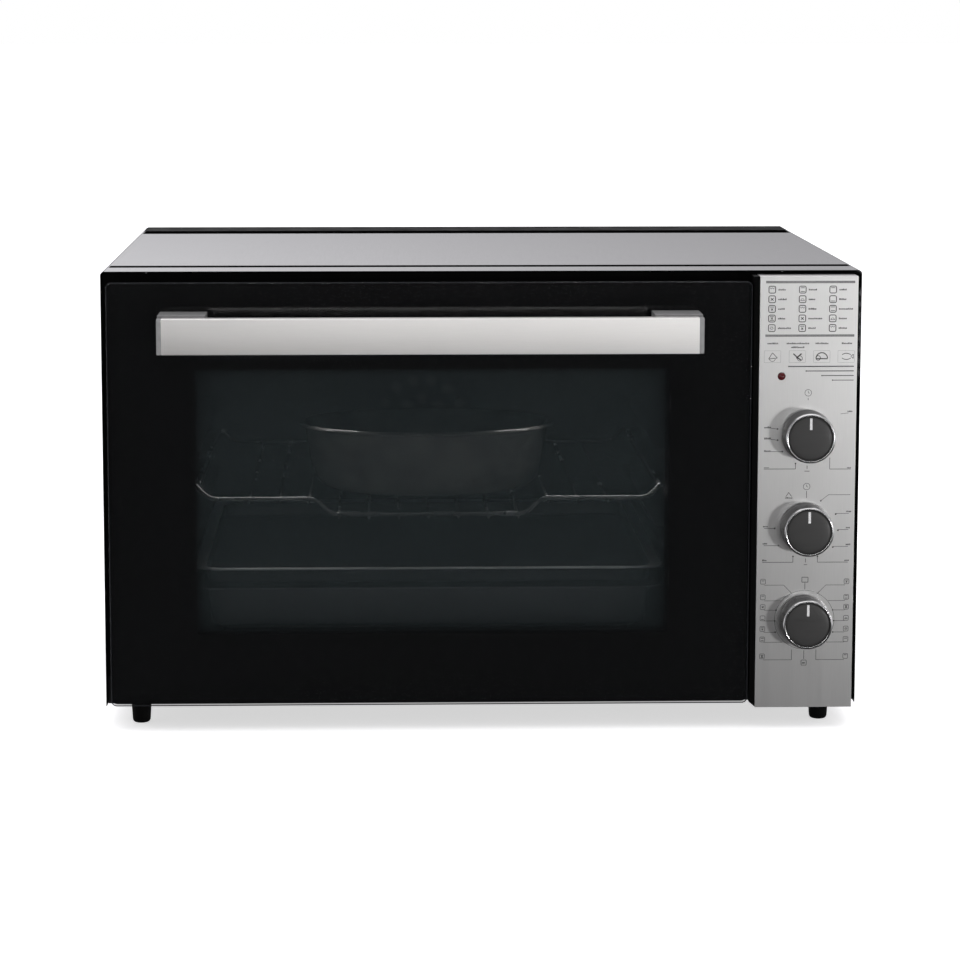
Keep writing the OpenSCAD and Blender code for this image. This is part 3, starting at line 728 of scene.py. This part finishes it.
def build_dial(name, middle):
    """A metal cup with a bright rim and a dark skirt, its cap and its pointer mark. The skirt is
    the same chrome painted darker: painted shade.
    """
    low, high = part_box(name + "_knob")
    base = (high.x - low.x) / 2 / MM
    rim = (high.y - low.y) / MM - 0.5
    rim_depth = 2.3 * MM

    def draw_cup(bm):
        skirt = mm((3, 0), (base - 0.6, 0), (base - 0.1, 0.3), (base, 1), (base - 0.15, 2.6),
                   (base - 0.55, rim - 2))
        lip = mm((base - 0.7, rim - 1.3), (base - 1.15, rim - 0.55), (base - 1.8, rim - 0.1),
                 (base - 2.3, rim), (base - 2.75, rim - 0.15), (base - 3.05, rim - 0.7))
        well = mm((base - 3.2, rim - 2), (3, rim - 2))
        lathe(bm, skirt + lip + well, Vector((middle.x, high.y, middle.z)), (0, -1, 0), 128,
              closed=True)

    cup = piece(name + "_cup", draw_cup, name + "_dial", "knob_chrome", [name + "_knob"],
                smooth=35)
    # The skirt behind the rim gets the darker copy of the chrome: painted shade.
    recolour(cup, SHADED_KNOB_SKIRT, lambda face: face.center.y > low.y + rim_depth)

    face_low, face_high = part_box(name + "_face")
    r = (face_high.x - face_low.x) / 2
    deep = face_high.y - face_low.y

    def draw_cap(bm):
        dome = [(r * s, deep - (0.35 + 0.5 * s ** 6) * MM * s ** 2)
                for s in (0.96, 0.9, 0.8, 0.65, 0.45, 0.25)]
        lathe(bm, [(0, 0), (r - 0.1 * MM, 0), (r - 0.05 * MM, deep - 1.3 * MM), *dome, (0, deep)],
              Vector((middle.x, face_high.y, middle.z)), (0, -1, 0), 96)

    piece(name + "_cap", draw_cap, name + "_dial", "knob_face", [name + "_face"], smooth=35)

    def draw_mark(bm):
        top = middle.z + r - 1.4 * MM
        slab(bm, (middle.x - 1.05 * MM, face_low.y - 0.12 * MM, top - 10 * MM),
             (middle.x + 1.05 * MM, face_low.y + 1.0 * MM, top), 0.1 * MM)

    piece(name + "_pointer", draw_mark, name + "_dial", "knob_face", material=POINTER)


# ---- control panel print

def polar(middle, r, degrees):
    """The point at a distance and an angle from a middle."""
    a = math.radians(degrees)
    return middle[0] + r * math.cos(a), middle[1] + r * math.sin(a)


class Print:
    """Ink strokes on the control panel, placed in mm from a point on it."""

    THICK = 0.05 * MM

    def __init__(self, bm, origin):
        self.bm, self.origin = bm, origin

    def at(self, u, v, lift):
        """The place of (u, v), lifted off the panel."""
        return Vector((self.origin.x + u * MM, PANEL_LO.y - lift, self.origin.z + v * MM))

    def stroke(self, a, b, width):
        """A straight line of ink from a to b."""
        along = Vector((b[0] - a[0], b[1] - a[1]))
        across = Vector((-along.y, along.x)).normalized() * (width / 2)
        self.patch([(a[0] + across.x, a[1] + across.y), (b[0] + across.x, b[1] + across.y),
                    (b[0] - across.x, b[1] - across.y), (a[0] - across.x, a[1] - across.y)])

    def patch(self, corners):
        """A filled shape between corners."""
        rings = [[self.at(u, v, lift) for u, v in corners] for lift in (0.0, self.THICK)]
        loft(self.bm, rings)

    def line(self, points, width):
        """Strokes from point to point."""
        for a, b in zip(points, points[1:]):
            self.stroke(a, b, width)

    def leader(self, points, width):
        """A line that ends in a dot."""
        self.line(points, width)
        self.dot(points[-1], 0.75)

    def arc(self, middle, r, start, end, width, steps):
        """Part of a circle, in degrees."""
        turn = (end - start) / steps
        self.line([polar(middle, r, start + turn * i) for i in range(steps + 1)], width)

    def dot(self, middle, r):
        """A filled circle."""
        self.patch([polar(middle, r, 30 * i) for i in range(12)])

    def frame(self, middle, w, h, r, width):
        """A rectangle's outline with round corners."""
        points = [(middle[0] + u, middle[1] + v) for u, v in corner_outline(w, h, r, 3)]
        self.line(points + points[:1], width)

    def words(self, start, length, height):
        """A row of small plain blocks where the real panel has a word."""
        u, v = start
        end = u + length
        while u < end:
            wide = random.choice((0.45, 0.7, 0.9))
            tall = height * random.choice((0.7, 0.8, 1.0))
            self.stroke((u, v + (tall - height) / 2), (u + wide, v + (tall - height) / 2), tall)
            u += wide + 0.22


def glyph(ink, middle, kind, s):
    """One of a few plain oven-mode signs inside a frame."""
    u, v = middle
    if kind == "top":
        ink.stroke((u - 1.6 * s, v + 1.4 * s), (u + 1.6 * s, v + 1.4 * s), 0.55)
    elif kind == "bottom":
        ink.stroke((u - 1.6 * s, v - 1.4 * s), (u + 1.6 * s, v - 1.4 * s), 0.55)
    elif kind == "both":
        glyph(ink, middle, "top", s)
        glyph(ink, middle, "bottom", s)
    elif kind == "fan":
        for a in (45, 135, 225, 315):
            ink.stroke(middle, polar(middle, 1.5 * s, a), 0.6)
        ink.dot(middle, 0.55 * s)
    elif kind == "grill":
        ink.line([(u - 1.7 * s, v + 1.5 * s), (u - 0.85 * s, v + 0.5 * s), (u, v + 1.5 * s),
                  (u + 0.85 * s, v + 0.5 * s), (u + 1.7 * s, v + 1.5 * s)], 0.4)
    elif kind == "fan_top":
        glyph(ink, (u, v - 0.5), "fan", s * 0.75)
        glyph(ink, middle, "top", s)
    elif kind == "fan_both":
        glyph(ink, middle, "fan", s * 0.7)
        glyph(ink, middle, "both", s)
    elif kind == "dough":
        ink.arc((u, v - 0.9 * s), 1.3 * s, 0, 180, 0.4, 10)
        ink.stroke((u - 1.6 * s, v - 1.0 * s), (u + 1.6 * s, v - 1.0 * s), 0.45)
    elif kind == "lamp":
        ink.arc(middle, 0.9 * s, 0, 360, 0.4, 12)
        for a in range(0, 360, 60):
            ink.stroke(polar(middle, 1.3 * s, a), polar(middle, 1.8 * s, a), 0.35)


MODES = ("grill", "top", "fan", "bottom", "fan_top", "both", "fan_both", "dough", "lamp")


def clock_sign(ink, middle):
    """A small clock face with two hands."""
    ink.arc(middle, 2.9, 0, 360, 0.4, 24)
    ink.line([(middle[0], middle[1] + 1.7), middle, (middle[0] + 1.1, middle[1] - 0.5)], 0.4)


TABLE_TOP, TABLE_BOTTOM = 397.1, 350.3      # mm above the table the oven stands on
DISH_SIGNS = (-31.3, -9.6, 11.7, 33.0)      # mm to the right of the dials' middle
DISH_SIGN_HEIGHT = 331.9


def table_bars(ink):
    """The thick bars above and below the table of signs."""
    for v in (TABLE_TOP, TABLE_BOTTOM):
        ink.stroke((-37.8, v), (39.8, v), 2.1)


def mode_table(ink):
    """Fifteen framed signs in three columns between two bars."""
    column_pitch, row_pitch = 26.5, 8.4
    for column in range(3):
        for row in range(5):
            u, v = -32.3 + column_pitch * column, TABLE_TOP - 6.6 - row_pitch * row
            ink.frame((u, v), 5.8, 6.0, 1.2, 0.75)
            glyph(ink, (u, v), MODES[(column * 5 + row * 2) % len(MODES)], 1.15)
            ink.words((u + 5.3, v), (6.5, 7.0, 5.6, 6.2, 11.5)[(row + column) % 5], 1.5)


def dish_signs(ink):
    """Four dishes, each under its words."""
    v = DISH_SIGN_HEIGHT
    for u, reach, length in zip(DISH_SIGNS, (4.6, 9.5, 5.6, 4.0), (9.2, 19, 11.2, 8)):
        ink.words((u - reach, v + 11.6), length, 1.4)
    ink.words((-15.2, v + 8.2), 11.5, 1.4)
    ink.line([(-34.6, v - 2.0), (-31.4, v + 3.4), (-27.0, v - 1.2), (-34.6, v - 2.0)], 0.55)
    ink.arc((-31.4, v - 1.6), 2.6, 190, 350, 0.45, 10)
    ink.line([(-13.2, v + 2.6), (-8.6, v - 1.6), (-6.4, v - 3.0)], 1.1)
    ink.line([(-6.0, v + 2.6), (-10.6, v - 1.4)], 1.1)
    ink.arc((-7.4, v - 1.6), 2.2, 0, 360, 0.45, 16)
    ink.arc((11.7, v - 1.6), 5.0, 0, 180, 0.9, 16)
    ink.arc((8.6, v - 1.2), 2.0, 0, 360, 0.6, 14)
    ink.stroke((6.7, v - 1.9), (16.8, v - 1.9), 0.9)
    ink.arc((33.2, v - 3.4), 6.2, 52, 128, 0.6, 12)
    ink.arc((33.2, v + 3.6), 6.2, 232, 308, 0.6, 12)
    ink.line([(37.0, v + 0.2), (39.2, v + 2.0), (39.2, v - 1.8), (37.0, v + 0.2)], 0.5)


def dish_frames(ink):
    """The frames round the four dishes."""
    for u in DISH_SIGNS:
        ink.frame((u, DISH_SIGN_HEIGHT), 14.4, 10.4, 0.5, 0.3)


def falling_lines(ink):
    """Four thin lines, each shorter than the one above, flush at the right."""
    pitch = 4.05
    for k, start in enumerate((-17.0, -1.7, 12.1, 21.4)):
        v = 323.3 - pitch * k
        ink.stroke((start, v), (39.9, v), 0.9 - 0.1 * k)
        ink.dot((start, v), 0.6)


def timer_marks(ink):
    """A clock above the dial and leader lines to its settings."""
    clock_sign(ink, (0.4, 37.2))
    ink.stroke((0.4, 32.6), (0.4, 30.8), 0.5)
    ink.line([(29, 18.6), (36, 19.4)], 0.35)
    ink.words((35, 20.8), 3.6, 1.2)
    for v, reach, tilt in ((6.2, 26.0, -0.8), (-3.6, 25.8, -0.9), (-14.6, 21.6, 0)):
        ink.words((-37.5, v + 0.6), 5.0, 1.6)
        ink.leader([(-32.4, v), (-reach, v + tilt)], 0.4)
    ink.line([(-37.5, -30), (-9.8, -30), (-9.8, -25.4)], 0.5)
    ink.line([(-37.5, -28.9), (-33, -28.9)], 0.5)
    ink.dot((-9.8, -25.2), 0.7)
    ink.line([(0.4, -27), (0.4, -30)], 0.5)
    ink.line([(-1.8, -32), (2.6, -32)], 0.5)
    ink.line([(20.2, -20), (20.2, -30.2), (38.8, -30.2)], 0.45)
    ink.words((35.4, -29.0), 3.6, 1.2)


def thermostat_marks(ink):
    """A clock and a triangle above the dial and leader lines to its settings."""
    clock_sign(ink, (0.3, 36.6))
    ink.stroke((0.3, 32.6), (0.3, 26.4), 0.5)
    ink.line([(-17.8, 27.6), (-15.4, 31.4), (-12.8, 27.8)], 0.5)
    ink.words((-18.4, 26.6), 6.2, 1.2)
    ink.leader([(38.8, 29.2), (19.6, 29.2), (12.9, 23.9)], 0.4)
    for v, reach in ((12.6, 26.2), (-1.8, 28.4), (-16.8, 24.2)):
        ink.line([(37.6, v), (reach, v)], 0.4)
        ink.dot((reach, v - 0.6), 0.75)
        ink.words((35.4, v + 1.8), 3.4, 1.4)
    for v, reach in ((-0.6, 27.2), (-15.9, 23.8)):
        ink.leader([(-36.6, v), (-reach, v)], 0.4)
        ink.words((-37.6, v + 1.8), 3.6, 1.4)
    for side in (-1, 1):
        ink.line([(side * 37.6, -30.8), (side * 10.8, -30.8), (side * 10.8, -25.8)], 0.45)
        ink.dot((side * 10.8, -25.6), 0.7)
    ink.words((-37.8, -29), 3.6, 1.4)
    ink.words((34.6, -29), 3.6, 1.4)
    ink.stroke((0.3, -27.4), (0.3, -31), 0.5)
    ink.stroke((-1.2, -33), (1.8, -33), 0.5)


def selector_marks(ink):
    """Sixteen positions: a sign at the top and bottom and seven down each side."""
    ink.arc((0, 0), 26.3, 0, 360, 0.3, 64)
    ink.line([(-2.6, 33.6), (-2.6, 38.0), (2.8, 38.0), (2.8, 33.6), (-2.6, 33.6)], 0.55)
    ink.stroke((0.1, 33.0), (0.1, 27.0), 0.5)
    heights = (34.2, 20.2, 11.4, 1.4, -8.2, -17.6, -32.8)
    leaders = (31.0, 17.0, 8.6, -1.0, -11.2, -20.2, -36.0)
    reaches = (18.6, 20.6, 25.0, 26.0, 25.4, 19.4, 10.8)
    for side in (-1, 1):
        for k, (v, w, reach) in enumerate(zip(heights, leaders, reaches)):
            sign = (side * 36.8, v)
            ink.frame(sign, 4.2, 4.4, 0.8, 0.42)
            glyph(ink, sign, MODES[(k + (4 if side > 0 else 0)) % len(MODES)], 0.75)
            path = [(side * 35.6, w), (side * reach, w)]
            if k == 0:
                path.append((side * 11.0, w - 7.8))
            if k == len(heights) - 1:
                path.append((side * reach, w + 9.2))
            ink.line(path, 0.4)
            if 1 < k < 5:
                ink.dot((side * reach, w), 0.7)
    ink.stroke((0.1, -27.6), (0.1, -35.2), 0.5)
    ink.frame((0.1, -38.6), 4.6, 4.6, 0.6, 0.5)
    ink.words((-1.3, -38.6), 2.6, 1.8)


def build_print(name, origin, ink, *parts):
    """One object of ink on the panel, with its parts placed from the origin."""
    def draw(bm):
        for part in parts:
            part(Print(bm, origin))

    piece(name, draw, "housing", "stainless", material=ink, smooth=20)


def build_panel_print():
    """The table, its bars, the dishes' frames and the scale round each dial."""
    column = Vector((DIALS["timer"].x, 0, 0))
    build_print("panel_mode_table", column, INK, mode_table, dish_signs, falling_lines)
    build_print("panel_table_bars", column, BAR_INK, table_bars)
    build_print("panel_pale_frames", column, PALE_INK, dish_frames)
    for name, marks in (("timer", timer_marks), ("thermostat", thermostat_marks),
                        ("selector", selector_marks)):
        build_print(name + "_scale_print", DIALS[name], INK, marks)


def build_pilot():
    """A small red lens that stands out of the panel as a dome."""
    low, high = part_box("pilot_lamp")
    middle = centre("pilot_lamp")
    r, seat, rise = (high.x - low.x) / 2, high.y - PANEL_LO.y, PANEL_LO.y - low.y

    def draw(bm):
        dome = [(r * math.cos(a), seat + (rise - 0.05 * MM) * math.sin(a))
                for a in (math.radians(d) for d in range(0, 90, 9))]
        lathe(bm, [(0, 0), (r, 0), (r, seat - 0.2 * MM), *dome, (0, seat + rise)],
              Vector((middle.x, high.y, middle.z)), (0, -1, 0), 48)

    piece("pilot_lens", draw, "housing", "red_lens", ["pilot_lamp"])


# ---- shelves and cavity

def build_rack():
    """A bent wire frame with a dropped middle, and thirteen cross wires under it."""
    low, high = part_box("wire_rack")
    r = 2.0 * MM
    half = (high.x - low.x) / 2 - r
    top = high.z - r
    y0, y1 = low.y + 3 * MM, high.y - 3 * MM
    flat, drop, pitch = top - 11 * MM, top - 25 * MM, 26.75 * MM
    dip = [(101 * MM, flat), (87 * MM, drop)]
    front_half = [(half, top), (half - 11 * MM, flat), *dip]
    rear_half = [(half, top), (half - 7 * MM, top - 0.1 * MM), (half - 17 * MM, flat), *dip]

    def wire(halves, y):
        """A bent wire across the rack, from its left end to its right end."""
        return [Vector((DOOR_X - u, y, v)) for u, v in halves] + [
            Vector((DOOR_X + u, y, v)) for u, v in reversed(halves)]

    def draw(bm):
        loop = wire(front_half, y0) + wire(rear_half, y1)[::-1]
        sweep(bm, rounded(loop, 7 * MM, closed=True), r, 16, closed=True)
        for k in range(-6, 7):
            z = (drop if abs(k) <= 3 else flat) - r - 1.0 * MM
            x = DOOR_X + k * pitch
            ends = mm((0, 0), (1, 0.2), (1.4, 0.8))
            length = high.y - low.y
            back_ends = [(a, length - b) for a, b in reversed(ends)]
            lathe(bm, ends + back_ends, Vector((x, low.y, z)), (0, 1, 0), 14)

    piece("rack_wires", draw, "rack", "rack_wire", ["wire_rack"])


def build_dish():
    """An oval dish: rows of height in mm and of how much of its half width and depth it has."""
    low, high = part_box("roasting_dish")
    middle = centre("roasting_dish")
    height = high.z - low.z
    a, b = (high.x - low.x) / 2, (high.y - low.y) / 2
    outer = [(0, 0.50, 0.30), (0.6, 0.54, 0.40), (2.2, 0.68, 0.58), (6, 0.79, 0.74),
             (14, 0.865, 0.83), (28, 0.90, 0.875), (45, 0.925, 0.905), (59, 0.945, 0.93)]
    rim = [(62.5, 0.955, 0.945), (63.4, 0.985, 0.98), (64.6, 1.0, 1.0), (66.2, 0.995, 0.995),
           (67, 0.98, 0.975), (66.6, 0.955, 0.945)]
    inner = [(62, 0.915, 0.895), (45, 0.89, 0.865), (28, 0.865, 0.83), (14, 0.82, 0.77),
             (8, 0.74, 0.66), (5.4, 0.60, 0.48), (5, 0.3, 0.22)]

    def ellipse(h, s, t):
        return [middle + Vector((a * s * x, b * t * y, h * MM - height / 2))
                for x, y in circle(128)]

    def draw(bm):
        loft(bm, [ellipse(*row) for row in outer + rim + inner])

    piece("glazed_dish", draw, "rack", "dish_glaze", ["roasting_dish"], smooth=50)


def tray_shape(node, name, body, draft, material=None, highlight_rim=False):
    """A pressed tray with sloping walls, round corners and a rolled rim, whose top can be painted
    lighter as a highlight.
    """
    low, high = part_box(node)
    middle = centre(node)
    w, length, height = ((b - a) / MM for a, b in zip(low, high))
    sheet, rim = 0.9, 9
    foot = rim + draft
    rows = [                # inset from the edge, height and corner radius, in mm
        (foot + 6, 0, 12), (foot + 2, 0.5, 14), (foot, 2.4, 16), (rim + 0.4, height - 3, 17),
        (rim - 0.8, height - 2, 18), (1.6, height - 1.7, 19), (0.3, height - 1.5, 20),
        (0, height - 0.9, 20), (0.3, height - 0.2, 20), (1.6, height, 19),
        (3, height - 0.5, 18.6), (rim - 1.5, height - 0.6, 18), (rim + 0.8, height - 1.4, 17),
        (rim + sheet + 0.5, height - 3, 16), (foot + sheet, 2.6, 15),
        (foot + 2 + sheet, 1 + sheet * 0.6, 13), (foot + 6 + sheet, sheet, 11)]

    def ring(inset, z, r):
        return [Vector((middle.x + u * MM, middle.y + v * MM, low.z + z * MM))
                for u, v in corner_outline(w - 2 * inset, length - 2 * inset, r, 8)]

    tray = piece(name, lambda bm: loft(bm, [ring(*row) for row in rows]), body, "tray_enamel",
                 [node], material, smooth=50)
    if highlight_rim:
        # The rim's top faces are painted lighter: a painted highlight.
        recolour(tray, RIM_HIGHLIGHT, lambda face: face.center.z > high.z - 1.9 * MM)


def build_heater(node):
    """A bent tube from the cavity's right wall and back, with a pin at each end."""
    low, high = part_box(node)
    z, r = (low.z + high.z) / 2, (high.z - low.z) / 2
    pin_length, leg_gap = 14 * MM, 30 * MM
    x0, x1 = low.x + r, high.x - pin_length
    y0, y1 = low.y + r, high.y - r
    run_x, inner_y = 2 * DOOR_X - x0, y1 - leg_gap
    corners = ((x1, y1), (x0, y1), (x0, y0), (run_x, y0), (run_x, inner_y), (x1, inner_y))
    pin = [(0, 0), (2 * MM, 0), (2 * MM, pin_length - 0.4 * MM), (1.7 * MM, pin_length),
           (0, pin_length)]

    def draw(bm):
        path = [Vector((x, y, z)) for x, y in corners]
        sweep(bm, rounded(path, 16 * MM, steps=8), r - 0.02 * MM, 18)
        for y in (y1, inner_y):
            lathe(bm, pin, Vector((x1 - 0.01 * MM, y, z)), (1, 0, 0), 20)

    piece(node + "_tube", draw, "housing", "heater_tube", [node])


def build_seal():
    """A flat braid round the mouth of the cavity."""
    low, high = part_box("door_seal")
    middle = centre("door_seal")
    inset = 3.6 * MM

    def draw(bm):
        outline = corner_outline(high.x - low.x - 2 * inset, high.z - low.z - 2 * inset,
                                 9 * MM, 8)
        path = [middle + Vector((u, 0, v)) for u, v in outline]
        sweep(bm, path, 3.4 * MM, 18, closed=True, flat=0.24)

    piece("seal_braid", draw, "housing", "seal", ["door_seal"], smooth=60)


# ---- studio

WHITE = (1, 1, 1, 1)


def build_stage():
    """A wide floor of pale paper that also glows a little, so that it shows as white."""
    floor = bpy.data.meshes.new("floor")
    bm = bmesh.new()
    bmesh.ops.create_grid(bm, x_segments=1, y_segments=1, size=40)
    bm.to_mesh(floor)
    bm.free()
    thing = bpy.data.objects.new("floor", floor)
    bpy.context.scene.collection.objects.link(thing)
    look = Look("floor_paper", grey(0.86), 0.75, Emission_Color=WHITE, Emission_Strength=0.62)
    look.bump(look.noise(300, 2.0), 0.05)
    floor.materials.append(look.material)
    thing.visible_glossy = False


def area_light(name, place, target, size, power):
    """A rectangular light that the camera doesn't see."""
    data = bpy.data.lights.new(name, "AREA")
    data.shape = "RECTANGLE"
    data.size, data.size_y = size
    data.energy = power
    thing = bpy.data.objects.new(name, data)
    thing.location = place
    thing.rotation_euler = (Vector(target) - Vector(place)).to_track_quat("-Z", "Y").to_euler()
    thing.visible_camera = False
    bpy.context.scene.collection.objects.link(thing)


def build_world():
    """A white studio: bright above, behind and at the sides, dark low in front."""
    world = bpy.data.worlds.new("studio")
    bpy.context.scene.world = world
    world.use_nodes = True
    tree = world.node_tree
    tree.nodes.clear()
    split = added(tree, "SeparateXYZ", Vector=added(tree, "TexCoord").outputs["Generated"])

    def ramp(axis, start, end, low, high):
        """From low to high as the direction's part along the axis goes from start to end."""
        return stretched(split.outputs[axis], start, end, low, high, "SMOOTHSTEP")

    def combine(kind, a, b):
        """The sum or the product of two values."""
        node = added(tree, "Math")
        node.operation = kind
        tree.links.new(a, node.inputs[0])
        tree.links.new(b, node.inputs[1])
        return node.outputs["Value"]

    behind = combine("MULTIPLY", ramp("Y", 0.1, 0.95, 0.0, 1.0), ramp("X", -0.2, 0.2, 1.2, 0.68))
    behind = combine("MULTIPLY", behind, ramp("Z", 0.05, 0.12, 0.3, 1.25))
    sides = combine("ADD", ramp("X", -0.95, -0.55, 1.2, 0.0), ramp("X", 0.55, 0.95, 0.0, 1.2))
    sides = combine("MULTIPLY", sides, ramp("Z", -0.45, -0.1, 0.0, 1.0))
    sides = combine("MULTIPLY", sides, ramp("Z", 0.04, 0.16, 1.0, 0.45))
    above = combine("ADD", ramp("Z", 0.05, 0.9, 0.06, 0.7), sides)
    lit = added(tree, "Background", Color=(0.975, 0.965, 1.0, 1),
                Strength=combine("ADD", behind, above))
    seen = added(tree, "Background", Color=WHITE, Strength=1.0)
    to_camera = added(tree, "LightPath").outputs["Is Camera Ray"]
    mix = added(tree, "MixShader", Fac=to_camera)
    tree.links.new(lit.outputs["Background"], mix.inputs[1])
    tree.links.new(seen.outputs["Background"], mix.inputs[2])
    added(tree, "OutputWorld", Surface=mix.outputs["Shader"])


def build_camera():
    """Above the oven and a little to its left, pitched down, as a catalogue view."""
    data = bpy.data.cameras.new("camera")
    data.sensor_width = 36.0
    data.lens = 103.6
    data.shift_x = 0.04
    data.shift_y = -0.15
    data.clip_end = 100
    thing = bpy.data.objects.new("camera", data)
    thing.location = (-0.0916, FRONT - 2.376, 0.6374)
    thing.rotation_euler = (math.radians(90 - 6.875), 0, math.radians(-1.341))
    bpy.context.scene.collection.objects.link(thing)
    bpy.context.scene.camera = thing


def build_lights():
    """A softbox above, two strips in front, and small strips inside the oven."""
    area_light("top_softbox", (0.2, -0.7, 2.0), (0, 0, 0.2), (2.4, 1.6), 15)
    area_light("right_key", (1.15, -1.75, 0.08), (0.25, -0.2, 0.25), (0.22, 0.1), 6.5)
    area_light("low_front", (0.14, FRONT - 2.4, 0.29), (0, FRONT, 0.3), (1.6, 0.12), 3.8)
    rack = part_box("wire_rack")[0]
    dish_low, dish_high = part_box("roasting_dish")
    tray_low, tray_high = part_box("baking_tray")
    dish_rim = dish_low.y + 8 * MM
    for side in (-1, 1):
        edge_glint("wire_glint", (DOOR_X + side * 0.165, rack.y, 0.208), 0.11, 0.035)
        edge_glint("dish_glint", (DOOR_X + side * 0.098, dish_rim, dish_high.z), 0.06, 0.04)
    edge_glint("tray_glint", (DOOR_X, tray_low.y, tray_high.z), 0.38, 0.04)


def edge_glint(name, edge, width, power):
    """A small strip light just above and behind a front edge inside the oven."""
    edge = Vector(edge)
    area_light(name, edge + Vector((0, 22 * MM, 20 * MM)), edge, (width, 5 * MM), power)


build_camera()
dress_cad_nodes()
build_casing()
build_feet()
build_screws()
build_door()
build_hinge_springs()
build_handle()
for dial, dial_middle in DIALS.items():
    build_dial(dial, dial_middle)
build_panel_print()
build_pilot()
build_rack()
build_dish()
tray_shape("baking_tray", "shallow_tray", "baking_shelf", 2, highlight_rim=True)
tray_shape("drip_tray", "deep_tray", "drip_shelf", 5, DRIP_ENAMEL)
for heater in ("upper_element", "lower_element"):
    build_heater(heater)
build_seal()
build_stage()
build_world()
build_lights()
bpy.context.scene.view_settings.view_transform = "Standard"
